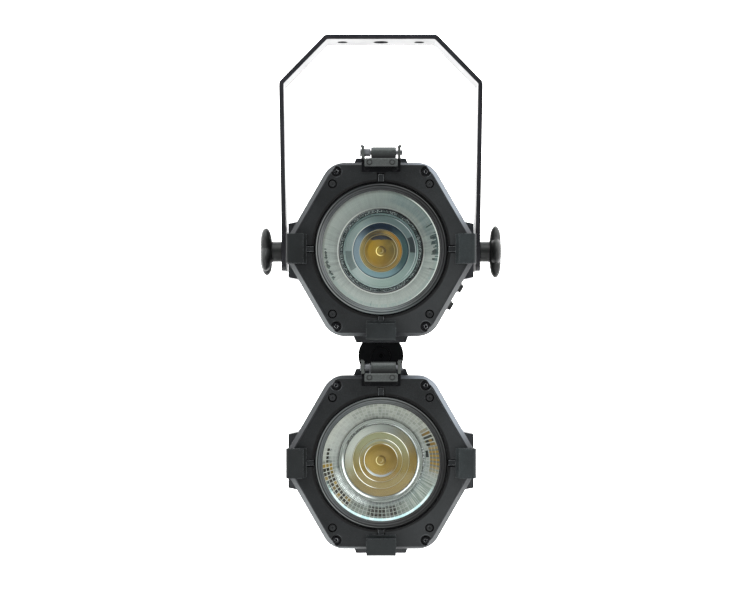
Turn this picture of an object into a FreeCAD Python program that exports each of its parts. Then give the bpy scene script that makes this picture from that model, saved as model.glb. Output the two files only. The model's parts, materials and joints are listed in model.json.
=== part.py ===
import FreeCAD, Part
import math
import os
import Sketcher

# Twin-head LED par light: a flat-bar hanging yoke, an upper head that tilts in it
# on two studs with locking knobs, and a lower head that swings on a friction link
# under the upper one.  Frame: origin in the middle of the yoke's central hanging
# hole on the top face of its top bar, +Z up, the lenses face -Y, +X to the right.

os.makedirs("parts", exist_ok=True)
doc = FreeCAD.newDocument("TwinHeadParLight")
Vector = FreeCAD.Vector
Rotation = FreeCAD.Rotation
COS30 = math.cos(math.radians(30.0))
SIN30 = 0.5

# ---------------------------------------------------------------- driving sizes
# alias, value, note
SIZES = [
    ("pivot_drop", 190.0, "hanging hole to tilt axis"),
    ("head_pitch", 184.0, "upper head centre to lower head centre"),
    ("front_depth", 50.0, "tilt axis forward to the face plate"),
    ("plate_thick", 5.0, "face plate thickness"),
    ("plate_top", 72.2, "face plate centre to its top and bottom edges"),
    ("plate_side", 70.0, "face plate centre to its slanted edges"),
    ("plate_half", 78.0, "face plate centre to its cut left and right corners"),
    ("opening_rad", 58.0, "face plate opening radius"),
    ("notch_wide", 7.0, "notch width"),
    ("notch_out", 65.6, "notch outer radius"),
    ("corner_x", 38.5, "corner screw across"),
    ("corner_z", 66.7, "corner screw up"),
    ("small_x", 41.8, "small screw across"),
    ("small_z", 56.0, "small screw up"),
    ("rear_x", 38.5, "rear screw across"),
    ("rear_z", 62.0, "rear screw up"),
    ("ring_out", 57.0, "lens ring outer radius"),
    ("ring_in", 50.5, "lens ring inner radius"),
    ("glass_rad", 55.0, "front glass radius"),
    ("glass_thick", 3.0, "front glass thickness"),
    ("shell_side", 75.0, "housing centre to its flats"),
    ("shell_half", 80.0, "housing centre to its cut corners"),
    ("shell_back", 78.0, "housing rear edge behind the plate's front face"),
    ("shell_wall", 3.0, "housing wall"),
    ("front_wall", 6.0, "housing front wall"),
    ("pad_out", 81.0, "side pads' outer face from the centre"),
    ("pad_top", 80.5, "top and bottom pads' outer face from the centre"),
    ("rim_rad", 50.7, "reflector rim radius"),
    ("throat_rad", 37.3, "reflector throat radius"),
    ("lens_rad", 31.7, "inner lens radius"),
    ("led_rad", 15.0, "LED light-emitting radius"),
    ("led_back", 46.0, "LED rear face behind the plate's front face"),
    ("sink_base", 6.0, "heat sink base thickness"),
    ("sink_depth", 50.0, "heat sink overall depth"),
    ("sink_side", 74.0, "heat sink and rear cover flats"),
    ("fin_pitch", 7.0, "fin pitch"),
    ("fin_thick", 2.4, "fin thickness"),
    ("cover_depth", 22.0, "rear cover depth"),
    ("cover_wall", 2.5, "rear cover wall"),
    ("clip_out", 81.4, "gel clip outer wall from the centre"),
    ("clip_wide", 25.5, "gel clip width"),
    ("clip_front", 10.0, "gel clip lip ahead of the face plate"),
    ("clip_lip", 15.0, "gel clip lip length"),
    ("sheet_thick", 1.5, "clip and latch sheet"),
    ("latch_up", 82.3, "latch pin above the head centre"),
    ("latch_fwd", 5.0, "latch pin ahead of the face plate"),
    ("latch_half", 16.8, "latch bracket half width"),
    ("barrel_rad", 4.7, "latch barrel radius"),
    ("pin_rad", 2.0, "latch pin radius"),
    ("yoke_thick", 4.0, "yoke bar thickness"),
    ("yoke_wide", 35.0, "yoke bar width"),
    ("yoke_half", 87.25, "yoke half width outside at the studs"),
    ("yoke_bulge", 89.5, "yoke half width outside at the upper bend"),
    ("yoke_flat", 49.0, "half length of the top bar outside"),
    ("yoke_bend", 41.5, "top bar down to the lower bend"),
    ("hang_rad", 6.5, "central hanging hole radius"),
    ("side_rad", 4.5, "side hanging hole radius"),
    ("side_gap", 68.0, "distance between the side hanging holes"),
    ("stud_rad", 4.0, "pivot stud radius"),
    ("lobe_out", 13.0, "knob centre to each lobe's centre"),
    ("lobe_rad", 10.0, "knob lobe radius"),
    ("link_rad", 20.0, "link disc radius"),
    ("link_thick", 8.0, "link disc thickness"),
    ("link_gap", 0.6, "middle of the link to each disc"),
    ("bolt_rad", 3.0, "link bolt radius"),
]


class Dim:
    """A number together with the sheet formula it comes from."""

    def __init__(self, value, formula=None):
        self.value = float(value)
        self.bound = formula is not None
        self.formula = formula if self.bound else "(%.9g)" % self.value

    def join(self, sign, other, value):
        out = Dim(value, "(%s %s %s)" % (self.formula, sign, other.formula))
        out.bound = self.bound or other.bound
        return out

    def __add__(self, other):
        other = dim(other)
        return self.join("+", other, self.value + other.value)

    def __radd__(self, other):
        return dim(other) + self

    def __sub__(self, other):
        other = dim(other)
        return self.join("-", other, self.value - other.value)

    def __rsub__(self, other):
        return dim(other) - self

    def __mul__(self, other):
        other = dim(other)
        return self.join("*", other, self.value * other.value)

    __rmul__ = __mul__

    def __truediv__(self, other):
        other = dim(other)
        return self.join("/", other, self.value / other.value)

    def __neg__(self):
        return dim(0) - self


def dim(x):
    return x if isinstance(x, Dim) else Dim(x)


class Sizes:
    """Holds one Dim for each alias."""


size = Sizes()
sheet = doc.addObject("Spreadsheet::Sheet", "Sizes")
for row, (alias, value, note) in enumerate(SIZES, 1):
    sheet.set("A%d" % row, note)
    sheet.set("B%d" % row, "%.9g" % value)
    sheet.setAlias("B%d" % row, alias)
    setattr(size, alias, Dim(value, "Sizes." + alias))
doc.recompute()

# ---------------------------------------------------------------- points


def plain(points):
    """The points as plain numbers."""
    return [(dim(a).value, dim(b).value) for a, b in points]


def mirror(points):
    return [(-x, z) for x, z in points]


def quarters(points):
    """An outline's upper right quarter, given anticlockwise from the right or
    clockwise alike, repeated in all four quarters."""
    top = points + mirror(points)[::-1]
    return top + [(x, -z) for x, z in top[::-1]][len(points):][::-1][::-1] if False else \
        points + mirror(points)[::-1] + [(-x, -z) for x, z in points] \
        + [(x, -z) for x, z in points[::-1]]


def four(x, z):
    return quarters([(x, z)])


def rounds(points, radius):
    """Equal circles, as (x, z, radius), on the points."""
    return [(x, z, radius) for x, z in points]


def hexagon_quarter(top, side, half):
    """Upper right corners of a hexagon with its left and right corners cut off:
    centre to top edge, to slanted edge, and to the cut."""
    return [(half, (side - half * COS30) / SIN30), ((side - top * SIN30) / COS30, top)]


def hexagon(top, side, half):
    return quarters(hexagon_quarter(top, side, half))


def side_span(side, near, far):
    """Lower and upper x of a stretch near..far from the middle, right for side 1
    and left for side -1."""
    return (near, far) if side > 0 else (-far, -near)


# ---------------------------------------------------------------- sketches and bodies


def bind(obj, path, value):
    value = dim(value)
    if value.bound:
        obj.setExpression(path, value.formula)


def place(obj, x, y, z, turn=Rotation()):
    """Place an object, with its position bound to the sheet."""
    x, y, z = dim(x), dim(y), dim(z)
    obj.Placement = FreeCAD.Placement(Vector(x.value, y.value, z.value), turn)
    bind(obj, ".Placement.Base.x", x)
    bind(obj, ".Placement.Base.y", y)
    bind(obj, ".Placement.Base.z", z)
    return obj


def make_body(name):
    body = doc.addObject("PartDesign::Body", name)
    body.Label = name
    return body


def sketch(body, name, role="XZ_Plane", off=0.0):
    """A sketch on an origin plane of its own body, moved along +Y (XZ plane) or
    +Z (XY plane) by off."""
    outline = body.newObject("Sketcher::SketchObject", body.Label + "_" + name)
    plane = next(f for f in body.Origin.OriginFeatures if f.Role == role)
    outline.AttachmentSupport = (plane, [""])
    outline.MapMode = "FlatFace"
    off = dim(off)
    if role == "XZ_Plane":
        off = -off
    outline.AttachmentOffset = FreeCAD.Placement(Vector(0, 0, off.value), Rotation())
    bind(outline, ".AttachmentOffset.Base.z", off)
    return outline


def pin_point(index, end, x, y):
    """Constraints that fix one point of a sketch, each with the Dim driving it."""
    pairs = []
    for kind, distance, axis in (("DistanceX", x, -2), ("DistanceY", y, -1)):
        if abs(distance.value) < 1e-9:
            pairs.append((Sketcher.Constraint("PointOnObject", index, end, axis), None))
        else:
            pairs.append((Sketcher.Constraint(kind, -1, 1, index, end, distance.value), distance))
    return pairs


def constrain(outline, pairs):
    first = outline.ConstraintCount
    outline.addConstraint([constraint for constraint, driver in pairs])
    for i, (constraint, driver) in enumerate(pairs):
        if driver is not None:
            bind(outline, "Constraints[%d]" % (first + i), driver)


def poly(outline, points):
    """A closed outline whose corners are pinned to the sheet's sizes."""
    points = [(dim(x), dim(y)) for x, y in points]
    corners = plain(points)
    count = len(points)
    first = outline.GeometryCount
    for i in range(count):
        start, end = corners[i], corners[(i + 1) % count]
        outline.addGeometry(Part.LineSegment(Vector(*start, 0), Vector(*end, 0)), False)
    pairs = [(Sketcher.Constraint("Coincident", first + i, 2, first + (i + 1) % count, 1), None)
             for i in range(count)]
    for i, (x, y) in enumerate(points):
        pairs += pin_point(first + i, 1, x, y)
    constrain(outline, pairs)


def circles(outline, items):
    for x, y, radius in items:
        x, y, radius = dim(x), dim(y), dim(radius)
        index = outline.GeometryCount
        centre = Vector(x.value, y.value, 0)
        outline.addGeometry(Part.Circle(centre, Vector(0, 0, 1), radius.value), False)
        pairs = pin_point(index, 3, x, y)
        pairs.append((Sketcher.Constraint("Radius", index, radius.value), radius))
        constrain(outline, pairs)


def rect(outline, x0, x1, y0, y1):
    poly(outline, [(x0, y0), (x1, y0), (x1, y1), (x0, y1)])


def cross(outline, half, inner, outer):
    """Four rectangles reaching from inner to outer, above, below, right and left."""
    rect(outline, -half, half, inner, outer)
    rect(outline, -half, half, -outer, -inner)
    rect(outline, inner, outer, -half, half)
    rect(outline, -outer, -inner, -half, half)


def feature(body, kind, outline, length, reverse=False, both=False):
    before = body.Shape.Volume if body.Tip and not body.Shape.isNull() else 0.0
    made = body.newObject("PartDesign::" + kind, outline.Name + "_" + kind.lower())
    made.Profile = outline
    length = dim(length)
    made.Length = length.value
    bind(made, "Length", length)
    made.Reversed = reverse
    if both:
        made.SideType = "Symmetric"
    body.Tip = made
    doc.recompute()
    after = body.Shape.Volume
    if (kind == "Pad" and after <= before) or (kind == "Pocket" and after >= before):
        raise RuntimeError("%s changes nothing in %s" % (outline.Name, body.Label))
    return made


def pad_y(body, outline, length):
    """Pad towards +Y."""
    feature(body, "Pad", outline, length, reverse=True)


def pocket_y(body, outline, length):
    """Pocket towards +Y."""
    feature(body, "Pocket", outline, length)


def round_pads(body, name, off, length, items):
    outline = sketch(body, name, off=off)
    circles(outline, items)
    pad_y(body, outline, length)


def round_pockets(body, name, off, length, items):
    outline = sketch(body, name, off=off)
    circles(outline, items)
    pocket_y(body, outline, length)


def dress(body, kind, amount, test):
    """Fillet or Chamfer the edges that test picks."""
    tip = body.Tip
    names = ["Edge%d" % i for i, edge in enumerate(tip.Shape.Edges, 1) if test(edge)]
    if not names:
        raise RuntimeError("no edge to dress in " + body.Label)
    made = body.newObject("PartDesign::" + kind, body.Label + "_" + kind.lower())
    made.Base = (tip, names)
    setattr(made, "Radius" if kind == "Fillet" else "Size", amount)
    body.Tip = made
    doc.recompute()


def along_y(edge):
    start, end = edge.Vertexes[0].Point, edge.Vertexes[-1].Point
    return len(edge.Vertexes) == 2 and abs(start.x - end.x) < 1e-4 and abs(start.z - end.z) < 1e-4


def along_y_at(spots):
    """Test for edges along Y at any of the (x, z) spots."""
    spots = plain(spots)

    def test(edge):
        point = edge.Vertexes[0].Point
        return along_y(edge) and any(
            abs(point.x - x) < 0.05 and abs(point.z - z) < 0.05 for x, z in spots)
    return test


def along_z_at(spots):
    """Test for edges along Z at any of the (x, y) spots."""
    spots = plain(spots)

    def test(edge):
        ends = [edge.Vertexes[i].Point for i in (0, -1)]
        return abs(ends[0].z - ends[1].z) > 1 and any(
            all(abs(p.x - x) < 0.01 and abs(p.y - y) < 0.01 for p in ends) for x, y in spots)
    return test


def level_at(y):
    """Test for edges lying in the plane at this y."""
    y = dim(y).value
    return lambda edge: abs(edge.BoundBox.YMin - y) < 1e-4 and abs(edge.BoundBox.YMax - y) < 1e-4


def block(body, off, depth, outline_points, corner_radius):
    """Hexagonal block with its upper and lower corners rounded."""
    outline = sketch(body, "outline", off=off)
    poly(outline, outline_points)
    pad_y(body, outline, depth)
    dress(body, "Fillet", corner_radius,
          lambda edge: along_y(edge) and abs(edge.Vertexes[0].Point.z) > 50)


def revolve(body, points):
    """Turn an outline of (radius, depth) points about the body's own Y axis."""
    outline = sketch(body, "profile", "XY_Plane")
    poly(outline, points)
    made = body.newObject("PartDesign::Revolution", body.Label + "_profile_turn")
    made.Profile = outline
    made.ReferenceAxis = (outline, ["V_Axis"])
    made.Angle = 360
    body.Tip = made
    doc.recompute()


# ---------------------------------------------------------------- Part objects
ALONG_X = Rotation(Vector(0, 1, 0), 90)
ALONG_Y = Rotation(Vector(1, 0, 0), -90)
ALONG_Z = Rotation()


def cyl(name, radius, length, x, y, z, turn=ALONG_Y):
    """Cylinder from (x, y, z) towards +Y, or as turned."""
    obj = doc.addObject("Part::Cylinder", name)
    for prop, value in (("Radius", radius), ("Height", length)):
        setattr(obj, prop, dim(value).value)
        bind(obj, prop, value)
    return place(obj, x, y, z, turn)


def cyl_x(name, radius, x0, x1, y, z):
    """Cylinder along X from x0 to x1."""
    return cyl(name, radius, x1 - x0, x0, y, z, ALONG_X)


def box(name, x0, x1, y0, y1, z0, z1):
    obj = doc.addObject("Part::Box", name)
    for prop, low, high in (("Length", x0, x1), ("Width", y0, y1), ("Height", z0, z1)):
        value = dim(high) - low
        setattr(obj, prop, value.value)
        bind(obj, prop, value)
    return place(obj, x0, y0, z0)


def hex_prism(name, corner_radius, height, x, y, z, turn=ALONG_Y):
    obj = doc.addObject("Part::Prism", name)
    obj.Polygon = 6
    obj.Circumradius = corner_radius
    obj.Height = height
    return place(obj, x, y, z, turn)


def fuse(name, items):
    obj = doc.addObject("Part::MultiFuse", name)
    obj.Shapes = items
    return obj


def cut(name, solid, tool):
    obj = doc.addObject("Part::Cut", name)
    obj.Base, obj.Tool = solid, tool
    return obj


def compound(name, items):
    obj = doc.addObject("Part::Compound", name)
    obj.Links = items
    return obj


def copies(name, template, places):
    """Links to one template, each at its own (position, rotation)."""
    links = []
    for i, (position, turn) in enumerate(places):
        link = doc.addObject("App::Link", "%s_copy%d" % (name, i))
        link.LinkedObject = template
        link.Placement = FreeCAD.Placement(position, turn)
        links.append(link)
    return compound(name, links)


NODES = []


def node(obj, name):
    """Register an object as a piece to export."""
    obj.Label = name
    NODES.append((name, obj))


# ---------------------------------------------------------------- templates
# Socket-head screws and rivets lie along Y with their heads at -Y.


def screw(name, head_rad, head_len, shank_rad, shank_len, key_rad):
    head = cyl(name + "_head", head_rad, head_len, 0, 0, 0)
    shank = cyl(name + "_shank", shank_rad, shank_len + head_len - 0.5, 0, 0.5, 0)
    blank = fuse(name + "_blank", [head, shank])
    return cut(name, blank, hex_prism(name + "_key", key_rad, head_len * 0.65 + 1.0, 0, -1.0, 0))


m4_front = screw("m4_front_template", head_rad=3.5, head_len=2.6,
                 shank_rad=2.0, shank_len=9.0, key_rad=1.75)
m4_rear = screw("m4_rear_template", head_rad=3.5, head_len=2.8,
                shank_rad=2.0, shank_len=78.0, key_rad=1.75)
m4_lug = screw("m4_lug_template", head_rad=3.5, head_len=2.8,
               shank_rad=2.0, shank_len=9.5, key_rad=1.75)
m3_front = screw("m3_template", head_rad=2.9, head_len=1.8,
                 shank_rad=1.5, shank_len=8.5, key_rad=1.45)


def make_rivet():
    head = doc.addObject("Part::Cone", "rivet_head")
    head.Radius1, head.Radius2, head.Height = 1.7, 2.8, 1.0
    place(head, 0, -2.5, 0, ALONG_Y)
    return fuse("rivet_template", [head, cyl("rivet_shank", 1.55, 6.3, 0, -1.6, 0)])


RIVET_HOLE = 1.6
CLIP_INNER = 64.0
CLIP_RIVET_X, CLIP_RIVET_Z = 70.0, 7.0
BOTTOM_CLIP_UP = 2.2
LATCH_RIVET_X, LATCH_RIVET_Z = 12.0, 69.0


def make_clip():
    """Gel clip on the right: a C of bent sheet, open towards the head's centre."""
    body = make_body("gel_clip_template")
    outer, thick, front = size.clip_out, size.sheet_thick, size.clip_front
    tip = outer - size.clip_lip
    outline = sketch(body, "bend", "XY_Plane")
    poly(outline, [(CLIP_INNER, 0.0), (outer, 0.0), (outer, -front), (tip, -front),
                   (tip, thick - front), (outer - thick, thick - front),
                   (outer - thick, -thick), (CLIP_INNER, -thick)])
    feature(body, "Pad", outline, size.clip_wide, both=True)
    dress(body, "Fillet", 2.4, along_z_at([(outer, 0.0), (outer, -front)]))
    dress(body, "Fillet", 0.9,
          along_z_at([(outer - thick, thick - front), (outer - thick, -thick)]))
    round_pockets(body, "rivet_holes", -3.0, 4.0,
                  [(CLIP_RIVET_X, z, RIVET_HOLE) for z in (CLIP_RIVET_Z, -CLIP_RIVET_Z)])
    return body


rivet = make_rivet()
clip = make_clip()
# right, left and bottom
CLIP_PLACES = [(Vector(0, 0, 0), Rotation()),
               (Vector(0, 0, 0), Rotation(Vector(0, 1, 0), 180)),
               (Vector(0, 0, BOTTOM_CLIP_UP), Rotation(Vector(0, 1, 0), 90))]
RIVETS = [(x, z) for x in (CLIP_RIVET_X, -CLIP_RIVET_X) for z in (CLIP_RIVET_Z, -CLIP_RIVET_Z)]
RIVETS += [(x, BOTTOM_CLIP_UP - CLIP_RIVET_X) for x in (CLIP_RIVET_Z, -CLIP_RIVET_Z)]
RIVETS += [(x, LATCH_RIVET_Z) for x in (LATCH_RIVET_X, -LATCH_RIVET_X)]


def spring_shape():
    """Latch torsion spring, wound along Z from the origin, with both legs at -Y."""
    coil_rad, wire_rad, pitch = 3.0, 0.45, 1.08
    height = pitch * 4.5
    wire_direction = Vector(0, 1, 0.057)
    helix = Part.makeHelix(pitch, height, coil_rad)
    profile = Part.Wire([Part.Circle(Vector(coil_rad, 0, 0), wire_direction, wire_rad).toShape()])
    coil = Part.Wire(helix.Edges).makePipeShell([profile], True, True)
    leg_start = 0.3
    leg_a = Part.makeCylinder(wire_rad, 5.0, Vector(coil_rad, leg_start, 0), Vector(0, -1, 0))
    leg_b = Part.makeCylinder(wire_rad, 7.0, Vector(-coil_rad, leg_start, height),
                              Vector(0, -1, 0))
    return coil.fuse([leg_a, leg_b])


spring = spring_shape()
# lays the coil along the pin with both legs down, one behind the pin and one in front
SPRING_TURN = Rotation(Vector(1, 1, 1), 120)

# ---------------------------------------------------------------- shared places
upper_z = -size.pivot_drop
lower_z = -(size.pivot_drop + size.head_pitch)
link_z = -(size.pivot_drop + size.head_pitch / 2)
# rear cover's front and back, behind the face plate's front face
cover_front = size.shell_back + size.sink_depth
cover_back = cover_front + size.cover_depth

CORNER_SCREWS = four(size.corner_x, size.corner_z)
SMALL_SCREWS = four(size.small_x, size.small_z)
REAR_SCREWS = four(size.rear_x, size.rear_z)
M4_SEAT = 4.0
REAR_BORE = 2.2
POST_RAD = 6.5
LUG_SCREWS_X = (-7.0, 7.0)
PAD_ROOT_HALF = 26.0
FIN_SLOTS = 24
SINK_CORNER = 19.0

# control panel on the upper head's rear cover, heights from the head centre
DISPLAY_HALF, DISPLAY_LOW, DISPLAY_HIGH = 23.0, 18.0, 34.0
BUTTONS_X, BUTTONS_Z = (-21.0, -7.0, 7.0, 21.0), 8.0
# name, x, z, flange thickness, mouth radius, pins
DATA_SOCKETS = [("data_in", 15.0, -16.0, 2.6, 7.6, 3), ("data_out", -15.0, -16.0, 2.6, 7.6, 5)]
POWER_SOCKETS = [("power_in", 15.0, -44.0, 4.0, 7.9, 3), ("power_out", -15.0, -44.0, 4.0, 7.9, 3)]

# cable glands: places up the lower right slope, and their outward direction
GLAND_OFFSETS = (8.0, -10.0)
GLAND_TURN = Rotation(Vector(0, 0, 1), Vector(COS30, 0, -SIN30))


def gland_spot(out, up_slope):
    """Point at a distance out from the upper head's axis, square to the slope."""
    return (out * COS30 + SIN30 * up_slope, 66.0 - size.front_depth,
            upper_z - out * SIN30 + COS30 * up_slope)


# ---------------------------------------------------------------- one head


class Head:
    """One head's place and kind.  Its own origin is its centre, on the front face
    of the face plate.  link_side is -1 with the link below it and 1 with it above."""

    def __init__(self, prefix, z, link_side, has_panel):
        self.prefix = prefix
        self.y = -size.front_depth
        self.z = z
        self.link_side = link_side
        self.has_panel = has_panel
        self.lug_y = link_side * (size.link_gap + size.link_thick / 2)

    def body(self, name):
        return make_body(self.prefix + name)

    def cyl(self, name, radius, length, x, y, z):
        return cyl(self.prefix + name, radius, length, x, self.y + y, self.z + z)

    def cyl_x(self, name, radius, x0, x1, y, z):
        return cyl_x(self.prefix + name, radius, x0, x1, self.y + y, self.z + z)

    def box(self, name, x0, x1, y0, y1, z0, z1):
        return box(self.prefix + name, x0, x1, self.y + y0, self.y + y1, self.z + z0, self.z + z1)

    def fuse(self, name, items):
        return fuse(self.prefix + name, items)

    def cut(self, name, solid, tool):
        return cut(self.prefix + name, solid, tool)

    def node(self, obj, name):
        node(obj, self.prefix + name)

    def put(self, obj, name):
        """Register a piece that is drawn about the head's own origin."""
        self.node(place(obj, 0, self.y, self.z), name)

    def turned(self, name, points):
        body = self.body(name)
        revolve(body, points)
        self.put(body, name)


def front_frame(head):
    body = head.body("front_frame")
    thick = size.plate_thick
    block(body, 0, thick, hexagon(size.plate_top, size.plate_side, size.plate_half), 6.0)
    round_pockets(body, "opening", 0, thick, [(0, 0, size.opening_rad)])
    outline = sketch(body, "notches")
    cross(outline, size.notch_wide / 2, 50.0, size.notch_out)
    pocket_y(body, outline, thick)
    round_pockets(body, "corner_seats", 0, 3.0, rounds(CORNER_SCREWS, M4_SEAT))
    round_pockets(body, "small_seats", 0, 2.2, rounds(SMALL_SCREWS, 3.8))
    round_pockets(body, "holes", 0, thick, rounds(CORNER_SCREWS, 2.2)
                  + rounds(SMALL_SCREWS, 1.65) + rounds(RIVETS, RIVET_HOLE))
    head.put(body, "front_frame")


def lens_ring(head):
    """Ring with four tabs."""
    body = head.body("lens_ring")
    inner, outer = size.ring_in, size.ring_out
    revolve(body, [(inner, 2.6), (inner + 1.4, 1.6), (inner + 2.4, 1.6), (inner + 3.4, 0.7),
                   (outer - 0.5, 0.7), (outer, 1.2), (outer, 4.2), (inner, 4.2)])
    outline = sketch(body, "tabs", off=1.7)
    cross(outline, 2.35, 55.5, 64.4)
    pad_y(body, outline, 2.3)
    head.put(body, "lens_ring")


def optics(head):
    """Glass, gasket, reflector, inner lens and its holder, and the LED."""
    glass_y = size.plate_thick - 0.7
    head.node(head.cyl("glass_disc", size.glass_rad, size.glass_thick, 0, glass_y, 0),
              "front_glass")
    gasket_in, gasket_out = 51.9, 55.2
    gasket_y = glass_y + size.glass_thick + 0.05
    head.turned("glass_gasket", [(gasket_in, gasket_y), (gasket_out, gasket_y),
                                 (gasket_out, gasket_y + 1.4), (gasket_in, gasket_y + 1.4)])

    rim = size.rim_rad
    inner = [(rim, 9.6), (rim - 2.3, 14.0), (rim - 5.2, 20.0), (rim - 8.8, 27.0),
             (size.throat_rad, 35.0)]
    reflector_wall = 0.9
    head.turned("reflector", inner + [(r + reflector_wall, y) for r, y in inner[::-1]])

    # stepped front face and flat back
    lens = size.lens_rad
    lens_back = 38.0
    head.turned("inner_lens", [
        (0, 33.2), (4.4, 33.8), (4.4, 35.0), (14.9, 35.6), (14.9, 34.2), (18.9, 34.8),
        (18.9, 33.4), (24.7, 34.0), (24.7, 33.0), (lens, 33.4), (lens, lens_back),
        (0, lens_back)])
    bore, outer = lens + 0.1, 36.9
    ledge_y = lens_back + 0.1
    head.turned("lens_holder", [(bore, 31.5), (outer, 31.0), (outer, size.led_back),
                                (29.0, size.led_back), (29.0, ledge_y), (bore, ledge_y)])

    # chip-on-board LED: ceramic board, dam and phosphor disc
    half, back, dam_height = 19.0, size.led_back, 1.4
    dam_y = back - 2.9
    head.node(head.fuse("cob", [
        head.box("cob_board", -half, half, back - 1.6, back, -half, half),
        head.cut("cob_dam",
                 head.cyl("dam_out", size.led_rad + 1.3, dam_height, 0, dam_y, 0),
                 head.cyl("dam_in", size.led_rad, dam_height, 0, dam_y, 0)),
        head.cyl("phosphor", size.led_rad, 1.1, 0, dam_y + 0.3, 0)]), "cob_led")


def shell(head):
    """The housing before its cross drillings."""
    body = head.body("shell")
    front, back, side = size.plate_thick, size.shell_back, size.shell_side
    block(body, front, back - front, hexagon(side, side, size.shell_half), 20.0)
    dress(body, "Chamfer", 3.8, level_at(front))

    # tapered pads on all four sides
    outline = sketch(body, "pads", off=25.0)
    for sign in (1, -1):
        root, face = sign * 69.0, sign * size.pad_out
        poly(outline, [(root, -PAD_ROOT_HALF), (face, -23.5), (face, 23.5),
                       (root, PAD_ROOT_HALF)])
    for sign in (1, -1):
        root, face = sign * 68.0, sign * size.pad_top
        poly(outline, [(-26.5, root), (26.5, root), (21.75, face), (-21.75, face)])
    pad_y(body, outline, 50.0)

    # cavity from the rear, left solid behind the top and bottom pads
    inside = side - size.shell_wall
    outline = sketch(body, "cavity", off=front + size.front_wall)
    poly(outline, quarters(hexagon_quarter(inside, inside, 70.0)
                           + [(PAD_ROOT_HALF, inside), (PAD_ROOT_HALF, 64.0)]))
    pocket_y(body, outline, back - front - size.front_wall)

    through_wall = size.front_wall + 1.0
    boss_y = 60.0
    round_pockets(body, "glass_seat", front, 3.8, [(0, 0, size.glass_rad + 0.6)])
    round_pockets(body, "light_bore", front, through_wall, [(0, 0, size.rim_rad + 1.1)])
    round_pads(body, "rear_bosses", boss_y, back - boss_y, rounds(REAR_SCREWS, 9.0))
    round_pockets(body, "boss_bores", boss_y, back - boss_y, rounds(REAR_SCREWS, 2.05))
    round_pockets(body, "front_holes", front, through_wall,
                  rounds(CORNER_SCREWS, 2.05) + rounds(SMALL_SCREWS, 1.55))

    # round groove for both link discs, and the seat of this head's own lug
    half = size.link_thick + 0.9
    groove_y = size.front_depth - half
    round_pockets(body, "link_groove", groove_y, half * 2,
                  [(0, head.link_side * (size.head_pitch / 2), size.link_rad + 0.6)])
    outline = sketch(body, "lug_seat", off=groove_y)
    rect(outline, -12.1, 12.1, head.link_side * 66.0, head.link_side * 84.0)
    pocket_y(body, outline, half * 2)
    return place(body, 0, head.y, head.z)


def housing(head):
    body = shell(head)
    drill_z = head.z + head.link_side * 65.0 - 3.0
    drills = [cyl(head.prefix + "lug_drill_" + letter, 2.2, 6.0, x, head.lug_y, drill_z, ALONG_Z)
              for letter, x in zip("ab", LUG_SCREWS_X)]
    if head.has_panel:
        drills.append(cyl_x(head.prefix + "stud_drill", size.stud_rad + 0.02,
                            -100.0, 100.0, 0, head.z))
        for i, up_slope in enumerate(GLAND_OFFSETS):
            drills.append(cyl(head.prefix + "gland_drill%d" % i, 3.05, 12.0,
                              *gland_spot(68.0, up_slope), GLAND_TURN))
    head.node(head.cut("housing", body, head.fuse("drills", drills)), "housing")


def heat_sink(head):
    """Base with upright fins, four screw posts and a pedestal for the LED."""
    body = head.body("heat_sink")
    front, depth, pitch = size.shell_back, size.sink_depth, size.fin_pitch
    block(body, front, depth, hexagon(size.sink_side, size.sink_side, size.shell_half),
          SINK_CORNER)
    # the leftmost slot between fins, repeated to the right
    outline = sketch(body, "slot", "XY_Plane")
    half = (pitch - size.fin_thick) / 2
    centre = -(FIN_SLOTS - 1) / 2 * pitch
    rect(outline, centre - half, centre + half, front + size.sink_base, front + depth + 1)
    slot = feature(body, "Pocket", outline, 200.0, both=True)
    pattern = body.newObject("PartDesign::LinearPattern", head.prefix + "fin_pattern")
    pattern.Originals = [slot]
    pattern.Direction = (outline, ["H_Axis"])
    length = (FIN_SLOTS - 1) * pitch
    pattern.Length = length.value
    bind(pattern, "Length", length)
    pattern.Occurrences = FIN_SLOTS
    body.Tip = pattern
    doc.recompute()
    round_pads(body, "posts", front, depth, rounds(REAR_SCREWS, POST_RAD))
    round_pads(body, "pedestal", size.led_back, front - size.led_back, [(0, 0, 37.0)])
    round_pockets(body, "bores", front, depth, rounds(REAR_SCREWS, REAR_BORE))
    head.put(body, "heat_sink")


def rear_cover(head):
    body = head.body("rear_cover")
    side, half, wall, depth = size.sink_side, size.shell_half, size.cover_wall, size.cover_depth
    block(body, cover_front, depth, hexagon(side, side, half), SINK_CORNER)
    dress(body, "Chamfer", 3.0, level_at(cover_back))
    outline = sketch(body, "cavity", off=cover_front)
    poly(outline, hexagon(side - wall, side - wall, half - wall))
    pocket_y(body, outline, depth - wall)
    round_pads(body, "bosses", cover_front, depth - 0.5, rounds(REAR_SCREWS, POST_RAD))
    round_pockets(body, "bores", cover_front, depth, rounds(REAR_SCREWS, REAR_BORE))
    round_pockets(body, "seats", cover_back - 3.0, 3.0, rounds(REAR_SCREWS, M4_SEAT))

    # two columns of vents, and the openings of the control panel
    outline = sketch(body, "vents", off=cover_back - wall)
    for sign in (-1, 1):
        for i in range(7):
            z = 8.0 * (i - 3)
            rect(outline, sign * 40.0, sign * 60.0, z - 1.5, z + 1.5)
    if head.has_panel:
        gap = 0.1
        rect(outline, -DISPLAY_HALF - gap, DISPLAY_HALF + gap, DISPLAY_LOW - gap,
             DISPLAY_HIGH + gap)
        circles(outline, [(x, BUTTONS_Z, 3.4) for x in BUTTONS_X])
        circles(outline, [(row[1], row[2], 9.7) for row in DATA_SOCKETS + POWER_SOCKETS])
    pocket_y(body, outline, wall)
    head.put(body, "rear_cover")


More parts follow.
